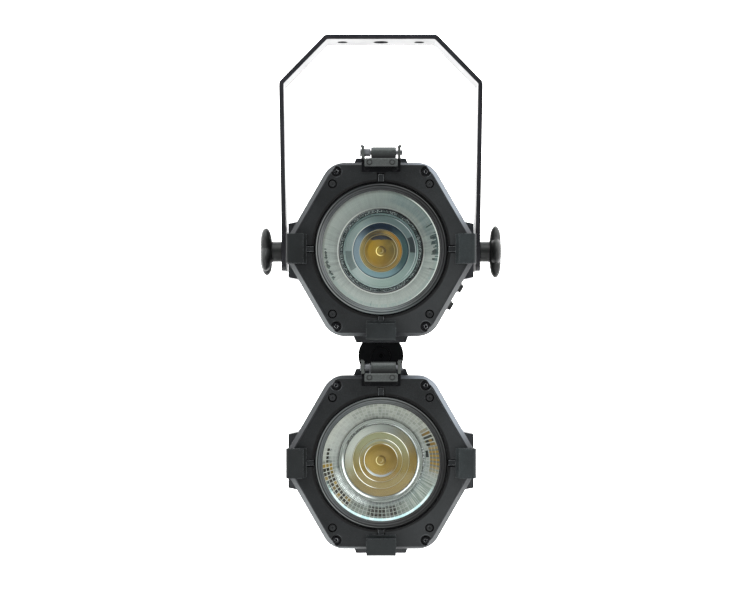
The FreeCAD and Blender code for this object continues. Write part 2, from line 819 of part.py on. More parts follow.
def led_driver(head):
    """Circuit board with its parts, on two stand-offs inside the rear cover."""
    inside = cover_back - size.cover_wall
    parts_y = inside - 16.0
    leg = 15.95
    head.node(head.fuse("driver", [
        head.box("drv_board", -28.0, 28.0, inside - 17.5, inside - 15.9, 47.0, 67.0),
        head.box("drv_coil", -9.0, 9.0, parts_y, inside - 4.0, 49.0, 65.0),
        head.box("drv_block", -27.0, -17.0, parts_y, inside - 7.0, 48.0, 58.0),
        head.cyl("drv_cap_a", 4.0, 12.0, 16.0, parts_y, 61.5),
        head.cyl("drv_cap_b", 3.2, 9.0, 15.0, parts_y, 52.0),
        head.cyl("drv_leg_a", 2.4, leg, -24.5, inside - leg, 63.5),
        head.cyl("drv_leg_b", 2.4, leg, 24.5, inside - leg, 51.0)]), "led_driver")


def latch(head):
    """Bracket, flap on its barrel, pin and spring, at the top of the face plate."""
    pin_y, pin_z = -size.latch_fwd, size.latch_up
    half, thick = size.latch_half, size.sheet_thick
    front = -10.2

    sheets = []
    for side in (-1, 1):
        x0, x1 = side_span(side, half - thick, half)
        sheets.append(head.box("ear%d" % side, x0, x1, front, 0, 76.8, 87.4))
        sheets.append(head.box("ear_root%d" % side, x0, x1, -thick, 0, 70.0, 80.0))
        x0, x1 = side_span(side, half - thick - 0.5, half + 0.7)
        sheets.append(head.box("cap%d" % side, x0, x1, -7.6, -2.4, 87.0, 88.6))
    sheets.append(head.box("latch_web", -half, half, -thick, 0, 66.0, 77.0))
    holes = head.fuse("latch_holes", [
        head.cyl_x("pin_drill", size.pin_rad + 0.02, -20.0, 20.0, pin_y, pin_z),
        head.cyl("web_drill_a", RIVET_HOLE, 4.0, LATCH_RIVET_X, -3.0, LATCH_RIVET_Z),
        head.cyl("web_drill_b", RIVET_HOLE, 4.0, -LATCH_RIVET_X, -3.0, LATCH_RIVET_Z)])
    head.node(head.cut("latch_bracket", head.fuse("latch_sheet", sheets), holes),
              "latch_bracket")

    barrel_left, barrel_right = -8.6, 12.9
    flap_back = front + thick
    blank = head.fuse("latch_flap_blank", [
        head.cyl_x("barrel_out", size.barrel_rad, barrel_left, barrel_right, pin_y, pin_z),
        head.box("flap_strip", barrel_left, barrel_right, front, flap_back, 76.0, pin_z),
        head.box("flap_plate", -14.2, 14.2, front, flap_back, 69.8, 77.1),
        head.cyl("flap_stud_a", 2.0, 1.0, -10.0, front - 0.5, 73.5),
        head.cyl("flap_stud_b", 2.0, 1.0, 9.5, front - 0.5, 73.5)])
    bore = head.cyl_x("barrel_bore", size.pin_rad + 0.05, -20.0, 20.0, pin_y, pin_z)
    head.node(head.cut("latch_barrel", blank, bore), "latch_flap")

    head.node(head.fuse("pin_blank", [
        head.cyl_x("pin_rod", size.pin_rad, -17.6, 18.4, pin_y, pin_z),
        head.cyl_x("pin_head", 3.1, -18.1, -16.9, pin_y, pin_z),
        head.cyl_x("pin_clip", 3.3, 17.4, 18.2, pin_y, pin_z)]), "latch_pin")

    coil = doc.addObject("Part::Feature", head.prefix + "spring")
    coil.Shape = spring
    place(coil, -14.3, head.y + pin_y, head.z + pin_z, SPRING_TURN)
    head.node(coil, "latch_spring")


def fasteners(head):
    """Gel clips with their rivets, and all the screws."""
    head.put(copies(head.prefix + "gel_clip_set", clip, CLIP_PLACES), "gel_clips")
    head.put(copies(head.prefix + "rivet_set", rivet,
                    [(Vector(x, 0, z), Rotation()) for x, z in RIVETS]), "rivets")
    front = copies(head.prefix + "m4_front", m4_front,
                   [(Vector(x, 0.35, z), Rotation()) for x, z in plain(CORNER_SCREWS)])
    forwards = Rotation(Vector(0, 0, 1), 180)
    rear = copies(head.prefix + "m4_rear", m4_rear,
                  [(Vector(x, cover_back.value - 0.15, z), forwards)
                   for x, z in plain(REAR_SCREWS)])
    outwards = Rotation(Vector(1, 0, 0), head.link_side * 90)
    lug_y = (head.lug_y + size.front_depth).value
    into_lug = copies(head.prefix + "m4_lug", m4_lug,
                      [(Vector(x, lug_y, head.link_side * 61.1), outwards)
                       for x in LUG_SCREWS_X])
    head.put(compound(head.prefix + "m4_set", [front, rear, into_lug]), "m4_screws")
    head.put(copies(head.prefix + "m3_set", m3_front,
                    [(Vector(x, 0.3, z), Rotation()) for x, z in plain(SMALL_SCREWS)]),
             "m3_screws")


for head in (Head("upper_", upper_z, link_side=-1, has_panel=True),
             Head("lower_", lower_z, link_side=1, has_panel=False)):
    front_frame(head)
    lens_ring(head)
    optics(head)
    housing(head)
    heat_sink(head)
    rear_cover(head)
    led_driver(head)
    latch(head)
    fasteners(head)

# ---------------------------------------------------------------- link


def link_lug(name, front, side, recess):
    """Friction disc with a square foot that enters its head's pad.  side is 1
    when the foot points up and -1 when it points down."""
    body = make_body(name + "_body")
    thick = size.link_thick
    round_pads(body, "disc", front, thick, [(0, 0, size.link_rad)])
    outline = sketch(body, "foot", off=front)
    rect(outline, -12.0, 12.0, side * 10.0, side * 25.9)
    pad_y(body, outline, thick)
    round_pockets(body, "bore", front, thick, [(0, 0, size.bolt_rad + 0.05)])
    if recess:
        round_pockets(body, "recess", front, 3.6, [(0, 0, 8.2)])
    place(body, 0, 0, link_z)
    tap_z = link_z + (15.5 if side > 0 else -26.5)
    taps = [cyl(name + "_tap%d" % i, 2.05, 11.0, x, front + thick / 2, tap_z, ALONG_Z)
            for i, x in enumerate(LUG_SCREWS_X)]
    node(cut(name + "_cut", body, fuse(name + "_taps", taps)), name)


def link_fasteners():
    """Bolt with its head in front, nut behind, and the washer between the discs."""
    thick = size.link_thick
    blank = fuse("link_bolt_blank", [
        cyl("link_bolt_head", 8.0, 3.4, 0, -(thick + 0.5), link_z),
        cyl("link_bolt_rod", size.bolt_rad, 23.5, 0, -(thick - 2.0), link_z)])
    key = hex_prism("link_bolt_key", 2.4, 2.5, 0, -(thick + 1.1), link_z)
    node(cut("link_bolt_cut", blank, key), "link_bolt")
    nut = hex_prism("link_nut_hex", 5.77, 5.0, 0, thick + 0.7, link_z)
    nut_bore = cyl("link_nut_bore", size.bolt_rad + 0.02, 8.0, 0, thick, link_z)
    node(cut("link_nut_cut", nut, nut_bore), "link_nut")
    disc = cyl("link_washer_disc", 17.0, 1.0, 0, -0.5, link_z)
    hole = cyl("link_washer_hole", size.bolt_rad + 0.05, 2.0, 0, -1.0, link_z)
    node(cut("link_washer_cut", disc, hole), "link_washer")


link_lug("link_upper_lug", -(size.link_thick + size.link_gap), side=1, recess=True)
link_lug("link_lower_lug", size.link_gap, side=-1, recess=False)
link_fasteners()

# ---------------------------------------------------------------- yoke


def yoke():
    body = make_body("yoke_body")
    thick, drop = size.yoke_thick, size.yoke_bend
    low = -(size.pivot_drop + 17.5)
    knee = -(size.pivot_drop - 15.0)
    # right half of the bar from the bottom up: lower end, knee, two bends
    outer = [(size.yoke_half, low), (size.yoke_half, knee), (size.yoke_bulge, -drop),
             (size.yoke_flat, 0)]
    inner = [(size.yoke_half - thick, low), (size.yoke_half - thick, knee),
             (size.yoke_bulge - thick, -(drop + thick * 0.4)),
             (size.yoke_flat - thick * 0.42, -thick)]
    outline = sketch(body, "bar")
    poly(outline, outer + mirror(outer)[::-1] + mirror(inner) + inner[::-1])
    feature(body, "Pad", outline, size.yoke_wide, both=True)
    dress(body, "Fillet", 6.0, along_y_at(outer[2:] + mirror(outer[2:])))
    dress(body, "Fillet", 2.2, along_y_at(inner[2:] + mirror(inner[2:])))
    # corners of the two lower ends
    dress(body, "Chamfer" if False else "Fillet", 4.0,
          lambda edge: abs(edge.BoundBox.ZMax - low.value) < 0.01
          and abs(edge.BoundBox.YMax - edge.BoundBox.YMin) < 0.01)
    outline = sketch(body, "hang_holes", "XY_Plane", -10.0)
    circles(outline, [(0, 0, size.hang_rad), (size.side_gap / 2, 0, size.side_rad),
                      (-size.side_gap / 2, 0, size.side_rad)])
    feature(body, "Pocket", outline, 20.0, reverse=True)
    drill = cyl_x("yoke_drill", size.stud_rad + 0.07, -100.0, 100.0, 0, upper_z)
    node(cut("yoke_cut", body, drill), "yoke")


def stud(side, word):
    x0, x1 = side_span(side, 66.0, 105.0)
    rod = cyl_x("stud_rod_" + word, size.stud_rad, x0, x1, 0, upper_z)
    x0, x1 = side_span(side, 65.8, 69.8)
    hex_head = hex_prism("stud_head_" + word, 7.5, 4.0, x0, 0, upper_z, ALONG_X)
    node(fuse("stud_blank_" + word, [rod, hex_head]), "stud_" + word)


def knob(side, word, first_angle):
    """Four-lobed knob on a round stem, with a blind bore from the inside."""
    x0, x1 = side_span(side, size.yoke_half + 0.1, 97.5)
    solids = [cyl_x("knob_stem_" + word, 9.0, x0, x1, 0, upper_z)]
    x0, x1 = side_span(side, 96.5, 106.5)
    solids.append(cyl_x("knob_core_" + word, 15.0, x0, x1, 0, upper_z))
    for i in range(4):
        angle = math.radians(first_angle + 90.0 * i)
        solids.append(cyl_x("knob_lobe_%s%d" % (word, i), size.lobe_rad, x0, x1,
                            size.lobe_out * math.cos(angle),
                            upper_z + size.lobe_out * math.sin(angle)))
    x0, x1 = side_span(side, 80.0, 105.2)
    bore = cyl_x("knob_bore_" + word, size.stud_rad + 0.04, x0, x1, 0, upper_z)
    node(cut("knob_cut_" + word, fuse("knob_blank_" + word, solids), bore), "knob_" + word)


def yoke_washer(side, word):
    x0, x1 = side_span(side, size.pad_out, size.pad_out + 2.2)
    disc = cyl_x("washer_disc_" + word, 11.0, x0, x1, 0, upper_z)
    hole = cyl_x("washer_hole_" + word, size.stud_rad + 0.05, x0 - 1.0, x0 + 5.0, 0, upper_z)
    return cut("washer_" + word, disc, hole)


yoke()
washers = []
for side, word, first_angle in ((1, "right", 0.0), (-1, "left", 35.0)):
    stud(side, word)
    knob(side, word, first_angle)
    washers.append(yoke_washer(side, word))
node(compound("washer_set", washers), "yoke_washers")

# ---------------------------------------------------------------- rear of the upper head
back = cover_back - size.front_depth


def display_and_buttons():
    node(fuse("display_blank", [
        box("display_window", -DISPLAY_HALF, DISPLAY_HALF, back - 3.0, back + 0.6,
            upper_z + DISPLAY_LOW, upper_z + DISPLAY_HIGH),
        box("display_board", -27.0, 27.0, back - 5.6, back - 2.9,
            upper_z + DISPLAY_LOW - 3.0, upper_z + DISPLAY_HIGH + 3.0)]), "display")
    z = upper_z + BUTTONS_Z
    for i, x in enumerate(BUTTONS_X):
        node(fuse("button_blank%d" % i, [
            cyl("button_cap%d" % i, 3.2, 4.6, x, back - 2.9, z),
            cyl("button_flange%d" % i, 4.4, 1.2, x, back - 3.9, z)]),
            "menu_button_%d" % (i + 1))


def socket(name, x, z, flange, mouth_rad, pins):
    z = upper_z + z
    outer = fuse(name + "_outer", [
        cyl(name + "_flange", 12.5, flange, x, back + 0.02, z),
        cyl(name + "_barrel", 9.5, 15.5, x, back - 15.0, z)])
    mouth = cyl(name + "_mouth", mouth_rad, 10.0, x, back + flange - 9.0, z)
    solids = [cut(name + "_shell", outer, mouth)]
    pin_circle = 3.6
    for i in range(pins):
        angle = math.radians(90.0 + 360.0 / pins * i)
        solids.append(cyl(name + "_pin%d" % i, 1.1, 8.0, x + pin_circle * math.cos(angle),
                          back + flange - 9.5, z + pin_circle * math.sin(angle)))
    return fuse(name, solids)


def safety_eye():
    """Ring on a collar, on top of the rear cover."""
    y, top = back - size.cover_depth / 2, upper_z + size.sink_side
    ring = doc.addObject("Part::Torus", "eye_ring")
    ring.Radius1, ring.Radius2 = 7.0, 2.0
    place(ring, 0, y, top + 11.5, ALONG_X)
    collar = cyl("eye_collar", 5.5, 3.0, 0, y, top + 0.02, ALONG_Z)
    node(fuse("eye_blank", [ring, collar]), "safety_eye")


def cable_glands():
    # radius, start from the head's axis, length
    steps = [(3.0, 70.0, 6.0), (4.6, 75.02, 2.0), (3.7, 76.9, 2.6)]
    glands = []
    for i, up_slope in enumerate(GLAND_OFFSETS):
        glands.append(fuse("gland%d" % i, [
            cyl("gland%d_%d" % (i, j), radius, length, *gland_spot(start, up_slope), GLAND_TURN)
            for j, (radius, start, length) in enumerate(steps)]))
    node(compound("gland_set", glands), "cable_glands")


display_and_buttons()
node(compound("data_set", [socket(*row) for row in DATA_SOCKETS]), "data_connectors")
node(compound("power_set", [socket(*row) for row in POWER_SOCKETS]), "power_connectors")
safety_eye()
cable_glands()

# ---------------------------------------------------------------- check and write
doc.recompute()
bad = []
for obj in doc.Objects:
    if any(word in obj.State for word in ("Invalid", "Error")):
        bad.append("%s %s" % (obj.Name, obj.State))
for name, obj in NODES:
    shape = obj.Shape
    if shape.isNull() or not shape.isValid() or not shape.Solids:
        bad.append("%s has a bad shape" % name)
    if obj.Label != name:
        bad.append("%s is labelled %s" % (name, obj.Label))
if bad:
    raise RuntimeError("; ".join(bad))
for name, obj in NODES:
    obj.Shape.exportStep("parts/%s.step" % name)
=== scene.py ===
"""A lamp with two round heads, one above the other, carried by a yoke with two hand knobs.

The heads are centred on x = 0 and their lenses face -Y; the camera looks along +Y, so
+X is at its right and +Z is up.  Mesh outlines are in millimetres, with depths counted
back (+Y) from the front face of the head plates.
"""
import json
import math
from functools import cached_property

import bpy
import bmesh
import numpy as np
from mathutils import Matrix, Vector


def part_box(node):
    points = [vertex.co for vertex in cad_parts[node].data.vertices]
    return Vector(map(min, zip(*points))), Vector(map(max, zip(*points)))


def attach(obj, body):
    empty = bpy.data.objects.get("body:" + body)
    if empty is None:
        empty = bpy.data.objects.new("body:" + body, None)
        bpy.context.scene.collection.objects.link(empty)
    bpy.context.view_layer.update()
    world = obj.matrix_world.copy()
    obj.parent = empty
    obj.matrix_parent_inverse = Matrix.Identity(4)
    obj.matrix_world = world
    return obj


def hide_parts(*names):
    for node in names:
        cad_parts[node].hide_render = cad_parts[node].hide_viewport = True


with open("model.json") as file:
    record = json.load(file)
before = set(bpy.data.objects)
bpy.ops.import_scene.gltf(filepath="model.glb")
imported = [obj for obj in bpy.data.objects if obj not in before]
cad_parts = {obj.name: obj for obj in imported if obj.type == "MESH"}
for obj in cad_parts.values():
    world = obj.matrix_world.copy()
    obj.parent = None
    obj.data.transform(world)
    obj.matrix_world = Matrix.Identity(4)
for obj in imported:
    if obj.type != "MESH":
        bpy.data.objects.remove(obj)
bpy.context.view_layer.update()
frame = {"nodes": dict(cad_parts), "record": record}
NODES = frame["nodes"]
RECORD = frame["record"]
SLOT = {part["node"]: part["material_slot"] for part in RECORD["subparts"]}
BODY = {node: body for body, nodes in RECORD["behaviour"]["bodies"].items() for node in nodes}
scene = bpy.context.scene
MM = 0.001


def head_height(prefix):
    low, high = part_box(prefix + "_front_glass")
    return (low.z + high.z) / 2


UPPER_Z = head_height("upper")
LOWER_Z = head_height("lower")
HEADS = (("upper", UPPER_Z), ("lower", LOWER_Z))
FRONT_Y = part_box("upper_front_frame")[0].y     # front face of the plates, metres
FRONT = FRONT_Y / MM                           # the same, mm

# screws at (+-x, +-z) from the lens axis, and the studs pressed in the latch flap, mm
M4_X, M4_Z = 38.5, 66.7
M3_X, M3_Z = 41.8, 56.0
STUDS_X, STUD_Z = (-10.0, 9.5), 73.5

# optics: overall brightness of their painted colours, and how much of it they give off as a
# painted glow
OPTIC_GAIN = 1.15
OPTIC_GLOW = 0.28


# =====================================================================
# colours: three numbers are 8-bit display values, four are linear
# =====================================================================
def linear(colour):
    """8-bit display colour to linear, with alpha."""
    def channel(level):
        level /= 255.0
        return level / 12.92 if level <= 0.04045 else ((level + 0.055) / 1.055) ** 2.4
    return tuple(channel(level) for level in colour) + (1.0,)


def grey(level):
    return (level, level, level, 1.0)


def scaled(colour, factor, lift=0.0):
    """A linear colour made lighter or darker."""
    return tuple(min(1, level * factor + lift) for level in colour[:3]) + (1.0,)


# =====================================================================
# node graphs
# =====================================================================
class Value:
    """A node output; arithmetic on it adds nodes to its graph."""

    def __init__(self, graph, socket):
        self.graph = graph
        self.socket = socket

    def __add__(self, other):
        return self.graph.math("ADD", self, other)

    def __radd__(self, other):
        return self.graph.math("ADD", other, self)

    def __sub__(self, other):
        return self.graph.math("SUBTRACT", self, other)

    def __rsub__(self, other):
        return self.graph.math("SUBTRACT", other, self)

    def __mul__(self, other):
        return self.graph.math("MULTIPLY", self, other)

    def abs(self):
        return self.graph.math("ABSOLUTE", self)

    def floor(self):
        return self.graph.math("FLOOR", self)

    def fract(self):
        return self.graph.math("FRACT", self)

    def max(self, other):
        return self.graph.math("MAXIMUM", self, other)

    def apart(self, centre=0.5):
        """Distance from centre."""
        return (self - centre).abs()

    def smooth(self, start, end, low=0.0, high=1.0):
        """Ease from low at start to high at end."""
        return self.graph.add("ShaderNodeMapRange", self, start, end, low, high,
                              interpolation_type="SMOOTHSTEP")

    def band(self, start, end, soft):
        """1 between start and end, with soft edges."""
        math_node = self.graph.math
        rise = self.smooth(math_node("SUBTRACT", start, soft), math_node("ADD", start, soft))
        return rise * self.smooth(math_node("ADD", end, soft), math_node("SUBTRACT", end, soft))

    def ramp(self, stops, mode="LINEAR"):
        """Colour ramp through (position, colour) stops."""
        node = self.graph.node("ShaderNodeValToRGB")
        node.color_ramp.interpolation = mode
        elements = node.color_ramp.elements
        while len(elements) > 1:
            elements.remove(elements[-1])
        for index, (position, colour) in enumerate(stops):
            stop = elements.new(position) if index else elements[0]
            stop.position = position
            stop.color = linear(colour) if len(colour) == 3 else colour
        self.graph.put(node.inputs[0], self)
        return Value(self.graph, node.outputs[0])

    def mix(self, first, second):
        """first where this is 0, second where it is 1."""
        return self.graph.mix(self, first, second)

    def tint(self, mask, colour, amount=None):
        """This colour, laid over with another where mask is 1."""
        return self.graph.mix(mask if amount is None else mask * amount, self, colour)

    def times(self, shade, amount=1.0):
        """This colour multiplied by shade."""
        return self.graph.mix(amount, self, shade, "MULTIPLY")

    def darken(self, by, amount, dark, light=(1, 1, 1), start=0.3, end=0.62):
        """Multiply by dark where `by` is under start, by light where it is over end."""
        return self.times(by.ramp([(start, (*dark, 1.0)), (end, (*light, 1.0))]), amount)


class Graph:
    """Builds nodes in one node tree."""

    def __init__(self, tree):
        self.tree = tree
        tree.nodes.clear()

    def node(self, kind, **settings):
        node = self.tree.nodes.new(kind)
        for key, setting in settings.items():
            setattr(node, key, setting)
        return node

    def put(self, socket, value):
        if isinstance(value, Value):
            self.tree.links.new(value.socket, socket)
        elif isinstance(value, tuple) and len(value) == 3:
            socket.default_value = linear(value)
        else:
            socket.default_value = value

    def add(self, kind, *values, output=0, **settings):
        """A node with its first inputs filled in; gives one of its outputs."""
        node = self.node(kind, **settings)
        for socket, value in zip(node.inputs, values):
            self.put(socket, value)
        return Value(self, node.outputs[output])

    def math(self, operation, *values):
        return self.add("ShaderNodeMath", *values, operation=operation)

    def length(self, across, up):
        return self.math("SQRT", across * across + up * up)

    def coords(self, kind="Object"):
        return self.add("ShaderNodeTexCoord", output=kind)

    def split(self, vector):
        node = self.node("ShaderNodeSeparateXYZ")
        self.put(node.inputs[0], vector)
        return [Value(self, socket) for socket in node.outputs]

    def vector(self, x, y, z):
        return self.add("ShaderNodeCombineXYZ", x, y, z)

    def noise(self, vector, scale, detail=2.0, rough=0.5):
        node = self.node("ShaderNodeTexNoise")
        self.put(node.inputs["Vector"], vector)
        node.inputs["Scale"].default_value = scale
        node.inputs["Detail"].default_value = detail
        node.inputs["Roughness"].default_value = rough
        return Value(self, node.outputs[0])

    def voronoi(self, vector, scale):
        node = self.node("ShaderNodeTexVoronoi", feature="F1")
        self.put(node.inputs["Vector"], vector)
        node.inputs["Scale"].default_value = scale
        return Value(self, node.outputs[0])

    def white(self, x, y, z=0.0):
        """A random number for every (x, y, z)."""
        return self.add("ShaderNodeTexWhiteNoise", self.vector(x, y, z), noise_dimensions="3D")

    def mix(self, factor, first, second, blend="MIX"):
        node = self.node("ShaderNodeMix", data_type="RGBA", blend_type=blend)
        self.put(node.inputs[0], factor)
        self.put(node.inputs[6], first)
        self.put(node.inputs[7], second)
        return Value(self, node.outputs[2])


class Material(Graph):
    def __init__(self, name):
        self.material = bpy.data.materials.new(name)
        self.material.use_nodes = True
        super().__init__(self.material.node_tree)
        self.out = self.node("ShaderNodeOutputMaterial")

    def bevel(self, radius, samples=3):
        """Normal rounded over edges; radius in metres."""
        return self.add("ShaderNodeBevel", radius, samples=samples)

    def edge(self, radius=0.0006, samples=3):
        """1 near a convex or concave edge, 0 on flat surface."""
        rounded = self.bevel(radius, samples)
        normal = self.add("ShaderNodeNewGeometry", output="Normal")
        agree = self.add("ShaderNodeVectorMath", rounded, normal,
                         output="Value", operation="DOT_PRODUCT")
        return agree.smooth(0.995, 0.90)

    def facing(self):
        """0 where a surface is seen square on, 1 where it is seen edge on."""
        return self.add("ShaderNodeLayerWeight", 0.5, output="Facing")

    def bump(self, height, distance, strength, normal=None):
        node = self.node("ShaderNodeBump")
        node.inputs["Strength"].default_value = strength
        node.inputs["Distance"].default_value = distance
        self.put(node.inputs["Height"], height)
        if normal is not None:
            self.put(node.inputs["Normal"], normal)
        return Value(self, node.outputs[0])

    def surface(self, shader):
        self.put(self.out.inputs[0], shader)
        return self.material

    def principled(self, inputs):
        node = self.node("ShaderNodeBsdfPrincipled")
        for key, value in inputs.items():
            self.put(node.inputs[key], value)
        return self.surface(Value(self, node.outputs[0]))


class Polar:
    """Position about a head's lens axis.

    x and z are metres from the axis, radius is in mm, and angle in degrees:
    0 at the right (+X), 90 at the top, up to 360.
    """

    def __init__(self, graph, centre_z):
        self.graph = graph
        self.x, _, height = graph.split(graph.coords())
        self.z = height - centre_z

    @cached_property
    def radius(self):
        return self.graph.length(self.x, self.z) * 1000.0

    @cached_property
    def angle(self):
        turn = self.graph.math("ARCTAN2", self.z, self.x) * (180.0 / math.pi)
        return self.graph.math("WRAP", turn, 360.0, 0.0)

    def ring(self, inner, outer, soft):
        """1 between two radii."""
        return self.radius.band(inner, outer, soft)

    def sector(self, middle, half, soft):
        """1 within half degrees of the middle angle."""
        away = self.graph.math("WRAP", self.angle - middle, 180.0, -180.0).abs()
        return away.smooth(half + soft, half - soft)

    def streaks(self, per_degree, per_mm, shift=0.0, detail=3.0, rough=0.6):
        """Noise drawn out into spokes (small per_mm) or rings (small per_degree)."""
        place = self.graph.vector(self.angle * per_degree, self.radius * per_mm, shift)
        return self.graph.noise(place, 1.0, detail, rough)

    def dial(self, tones):
        """Tones at equal steps round the circle, starting at the right and going up."""
        stops = [(i / len(tones), tone) for i, tone in enumerate(tones)] + [(1.0, tones[0])]
        return (self.angle * (1 / 360.0)).ramp(stops, "EASE")


# =====================================================================
# general finishes
# =====================================================================
def powder(name, base, rough=0.5, grain=0.55, size=2600.0, spec=0.35, wear=0.5, grit=0.35,
           soft=0.0002, edge_highlight=None, shade=None):
    """Powder coat: pebbled grain, slight mottling, edges worn lighter.

    grain is the bump strength, size the grain's noise scale, grit the depth of its speckle,
    wear the lightening of edges, soft their rounding in metres, the argument after soft the
    colour of a painted highlight along edges, and shade(material, tone) a change to the colour.
    """
    mat = Material(name)
    place = mat.coords()
    base = linear(base)
    fine = mat.noise(place, size, detail=3.0, rough=0.6)
    pebbles = mat.voronoi(place, size * 0.55)
    broad = mat.noise(place, 38.0, detail=4.0, rough=0.55)
    spots = mat.noise(place, 420.0)
    coarse = mat.noise(place, size * 0.36, rough=0.7)
    height = fine * 0.6 + pebbles * 0.5 + coarse * 0.9
    tone = broad.smooth(0.35, 0.7).mix(scaled(base, 0.82), scaled(base, 1.2))
    tone = tone.tint(spots.smooth(0.55, 0.75), scaled(base, 1.6), amount=0.25)
    pits = coarse.ramp([(0.34, grey(0.42)), (0.52, grey(1.0)), (0.68, grey(1.0))])
    tone = tone.times(pits, amount=grit)
    tone = tone.tint(coarse.smooth(0.58, 0.70), scaled(base, 2.2, lift=0.01), amount=grit * 0.5)
    if shade:
        tone = shade(mat, tone)
    if wear > 0:
        patches = mat.noise(place, 160.0, detail=4.0, rough=0.65).smooth(0.35, 0.75)
        worn = mat.edge(radius=0.0005) * patches
        tone = tone.tint(worn, scaled(base, 2.6, lift=0.012), amount=wear)
    # painted highlight along edges, broken up by the spots noise
    if edge_highlight:
        highlit_edge = mat.edge(radius=0.0008, samples=4) * spots.smooth(0.36, 0.6)
        tone = tone.tint(highlit_edge, edge_highlight, amount=0.6)
    normal = mat.bump(height, distance=0.00006, strength=grain,
                      normal=mat.bevel(soft) if soft else None)
    return mat.principled({"Base Color": tone, "Roughness": rough + (broad - 0.5) * 0.16,
                           "Specular IOR Level": spec, "Normal": normal})


def plastic(name, base, rough=0.42, grain=0.35, spec=0.45, lit_from_above=False):
    """Moulded plastic with a spark-eroded grain and slight flow marks."""
    mat = Material(name)
    place = mat.coords()
    base = linear(base)
    fine = mat.noise(place, 1700.0, rough=0.55)
    broad = mat.noise(place, 60.0, detail=3.0)
    tone = broad.smooth(0.3, 0.75).mix(scaled(base, 0.8), scaled(base, 1.22))
    worn = mat.edge() * mat.noise(place, 240.0, detail=3.0, rough=0.6).smooth(0.4, 0.7)
    tone = tone.tint(worn, scaled(base, 2.2, lift=0.01), amount=0.35)
    if lit_from_above:
        # painted light: upward faces lighter and undersides darker, as if lit from above
        top_lit = mat.split(mat.coords("Normal"))[2].smooth(-0.5, 0.95)
        tone = tone.times(top_lit.mix(grey(0.5), grey(1.75)))
    roughness = rough + (mat.noise(place, 300.0, detail=3.0) - 0.5) * 0.14
    normal = mat.bump(fine, distance=0.00005, strength=grain, normal=mat.bevel(0.00035))
    return mat.principled({"Base Color": tone, "Roughness": roughness,
                           "Specular IOR Level": spec, "Normal": normal})


def metal(name, base, rough, brush=(1.0, 1.0, 1.0), glint=None):
    """Plated metal: fine streaks stretched by brush, faint stains, glinting edges."""
    mat = Material(name)
    place = mat.coords()
    base = linear(base)
    brushed = [part * stretch for part, stretch in zip(mat.split(place), brush)]
    streak = mat.noise(mat.vector(*brushed), 900.0, detail=3.0, rough=0.6)
    stain = mat.noise(place, 130.0, detail=4.0, rough=0.6)
    tone = stain.smooth(0.3, 0.75).mix(scaled(base, 0.78), base)
    if glint:
        patches = mat.noise(place, 420.0, rough=0.6).smooth(0.42, 0.55)
        tone = tone.tint(mat.edge(radius=0.00045, samples=4) * patches, glint)
    roughness = rough + ((streak - 0.5) * 0.25 + (stain - 0.5) * 0.12)
    normal = mat.bump(streak, distance=0.00002, strength=0.25, normal=mat.bevel(0.00035))
    return mat.principled({"Base Color": tone, "Metallic": 1.0, "Roughness": roughness,
                           "Normal": normal})


def clear_glass(name, tint):
    """See-through cover glass with a Fresnel reflection and faint dust."""
    index, gloss, dust_amount = 1.45, 1.0, 0.02
    mat = Material(name)
    fresnel = mat.add("ShaderNodeFresnel", index)
    dust = mat.noise(mat.coords(), 1400.0, detail=3.0, rough=0.7).smooth(0.62, 0.8)
    through = mat.add("ShaderNodeBsdfTransparent", tint)
    mirror = mat.add("ShaderNodeBsdfGlossy", grey(1.0), 0.02)
    film = mat.add("ShaderNodeBsdfDiffuse", (0.7, 0.75, 0.75, 1))
    inside = mat.add("ShaderNodeNewGeometry", output="Backfacing")
    clean = mat.add("ShaderNodeMixShader", fresnel * gloss * (1.0 - inside), through, mirror)
    return mat.surface(mat.add("ShaderNodeMixShader", dust * dust_amount, clean, film))


def clip_side_light(mat, tone):
    """Painted light: clips lighter towards the right and darker towards the left."""
    across = mat.split(mat.coords())[0].smooth(-0.05, 0.07)
    return tone.times(across.mix(grey(0.66), grey(1.7)))


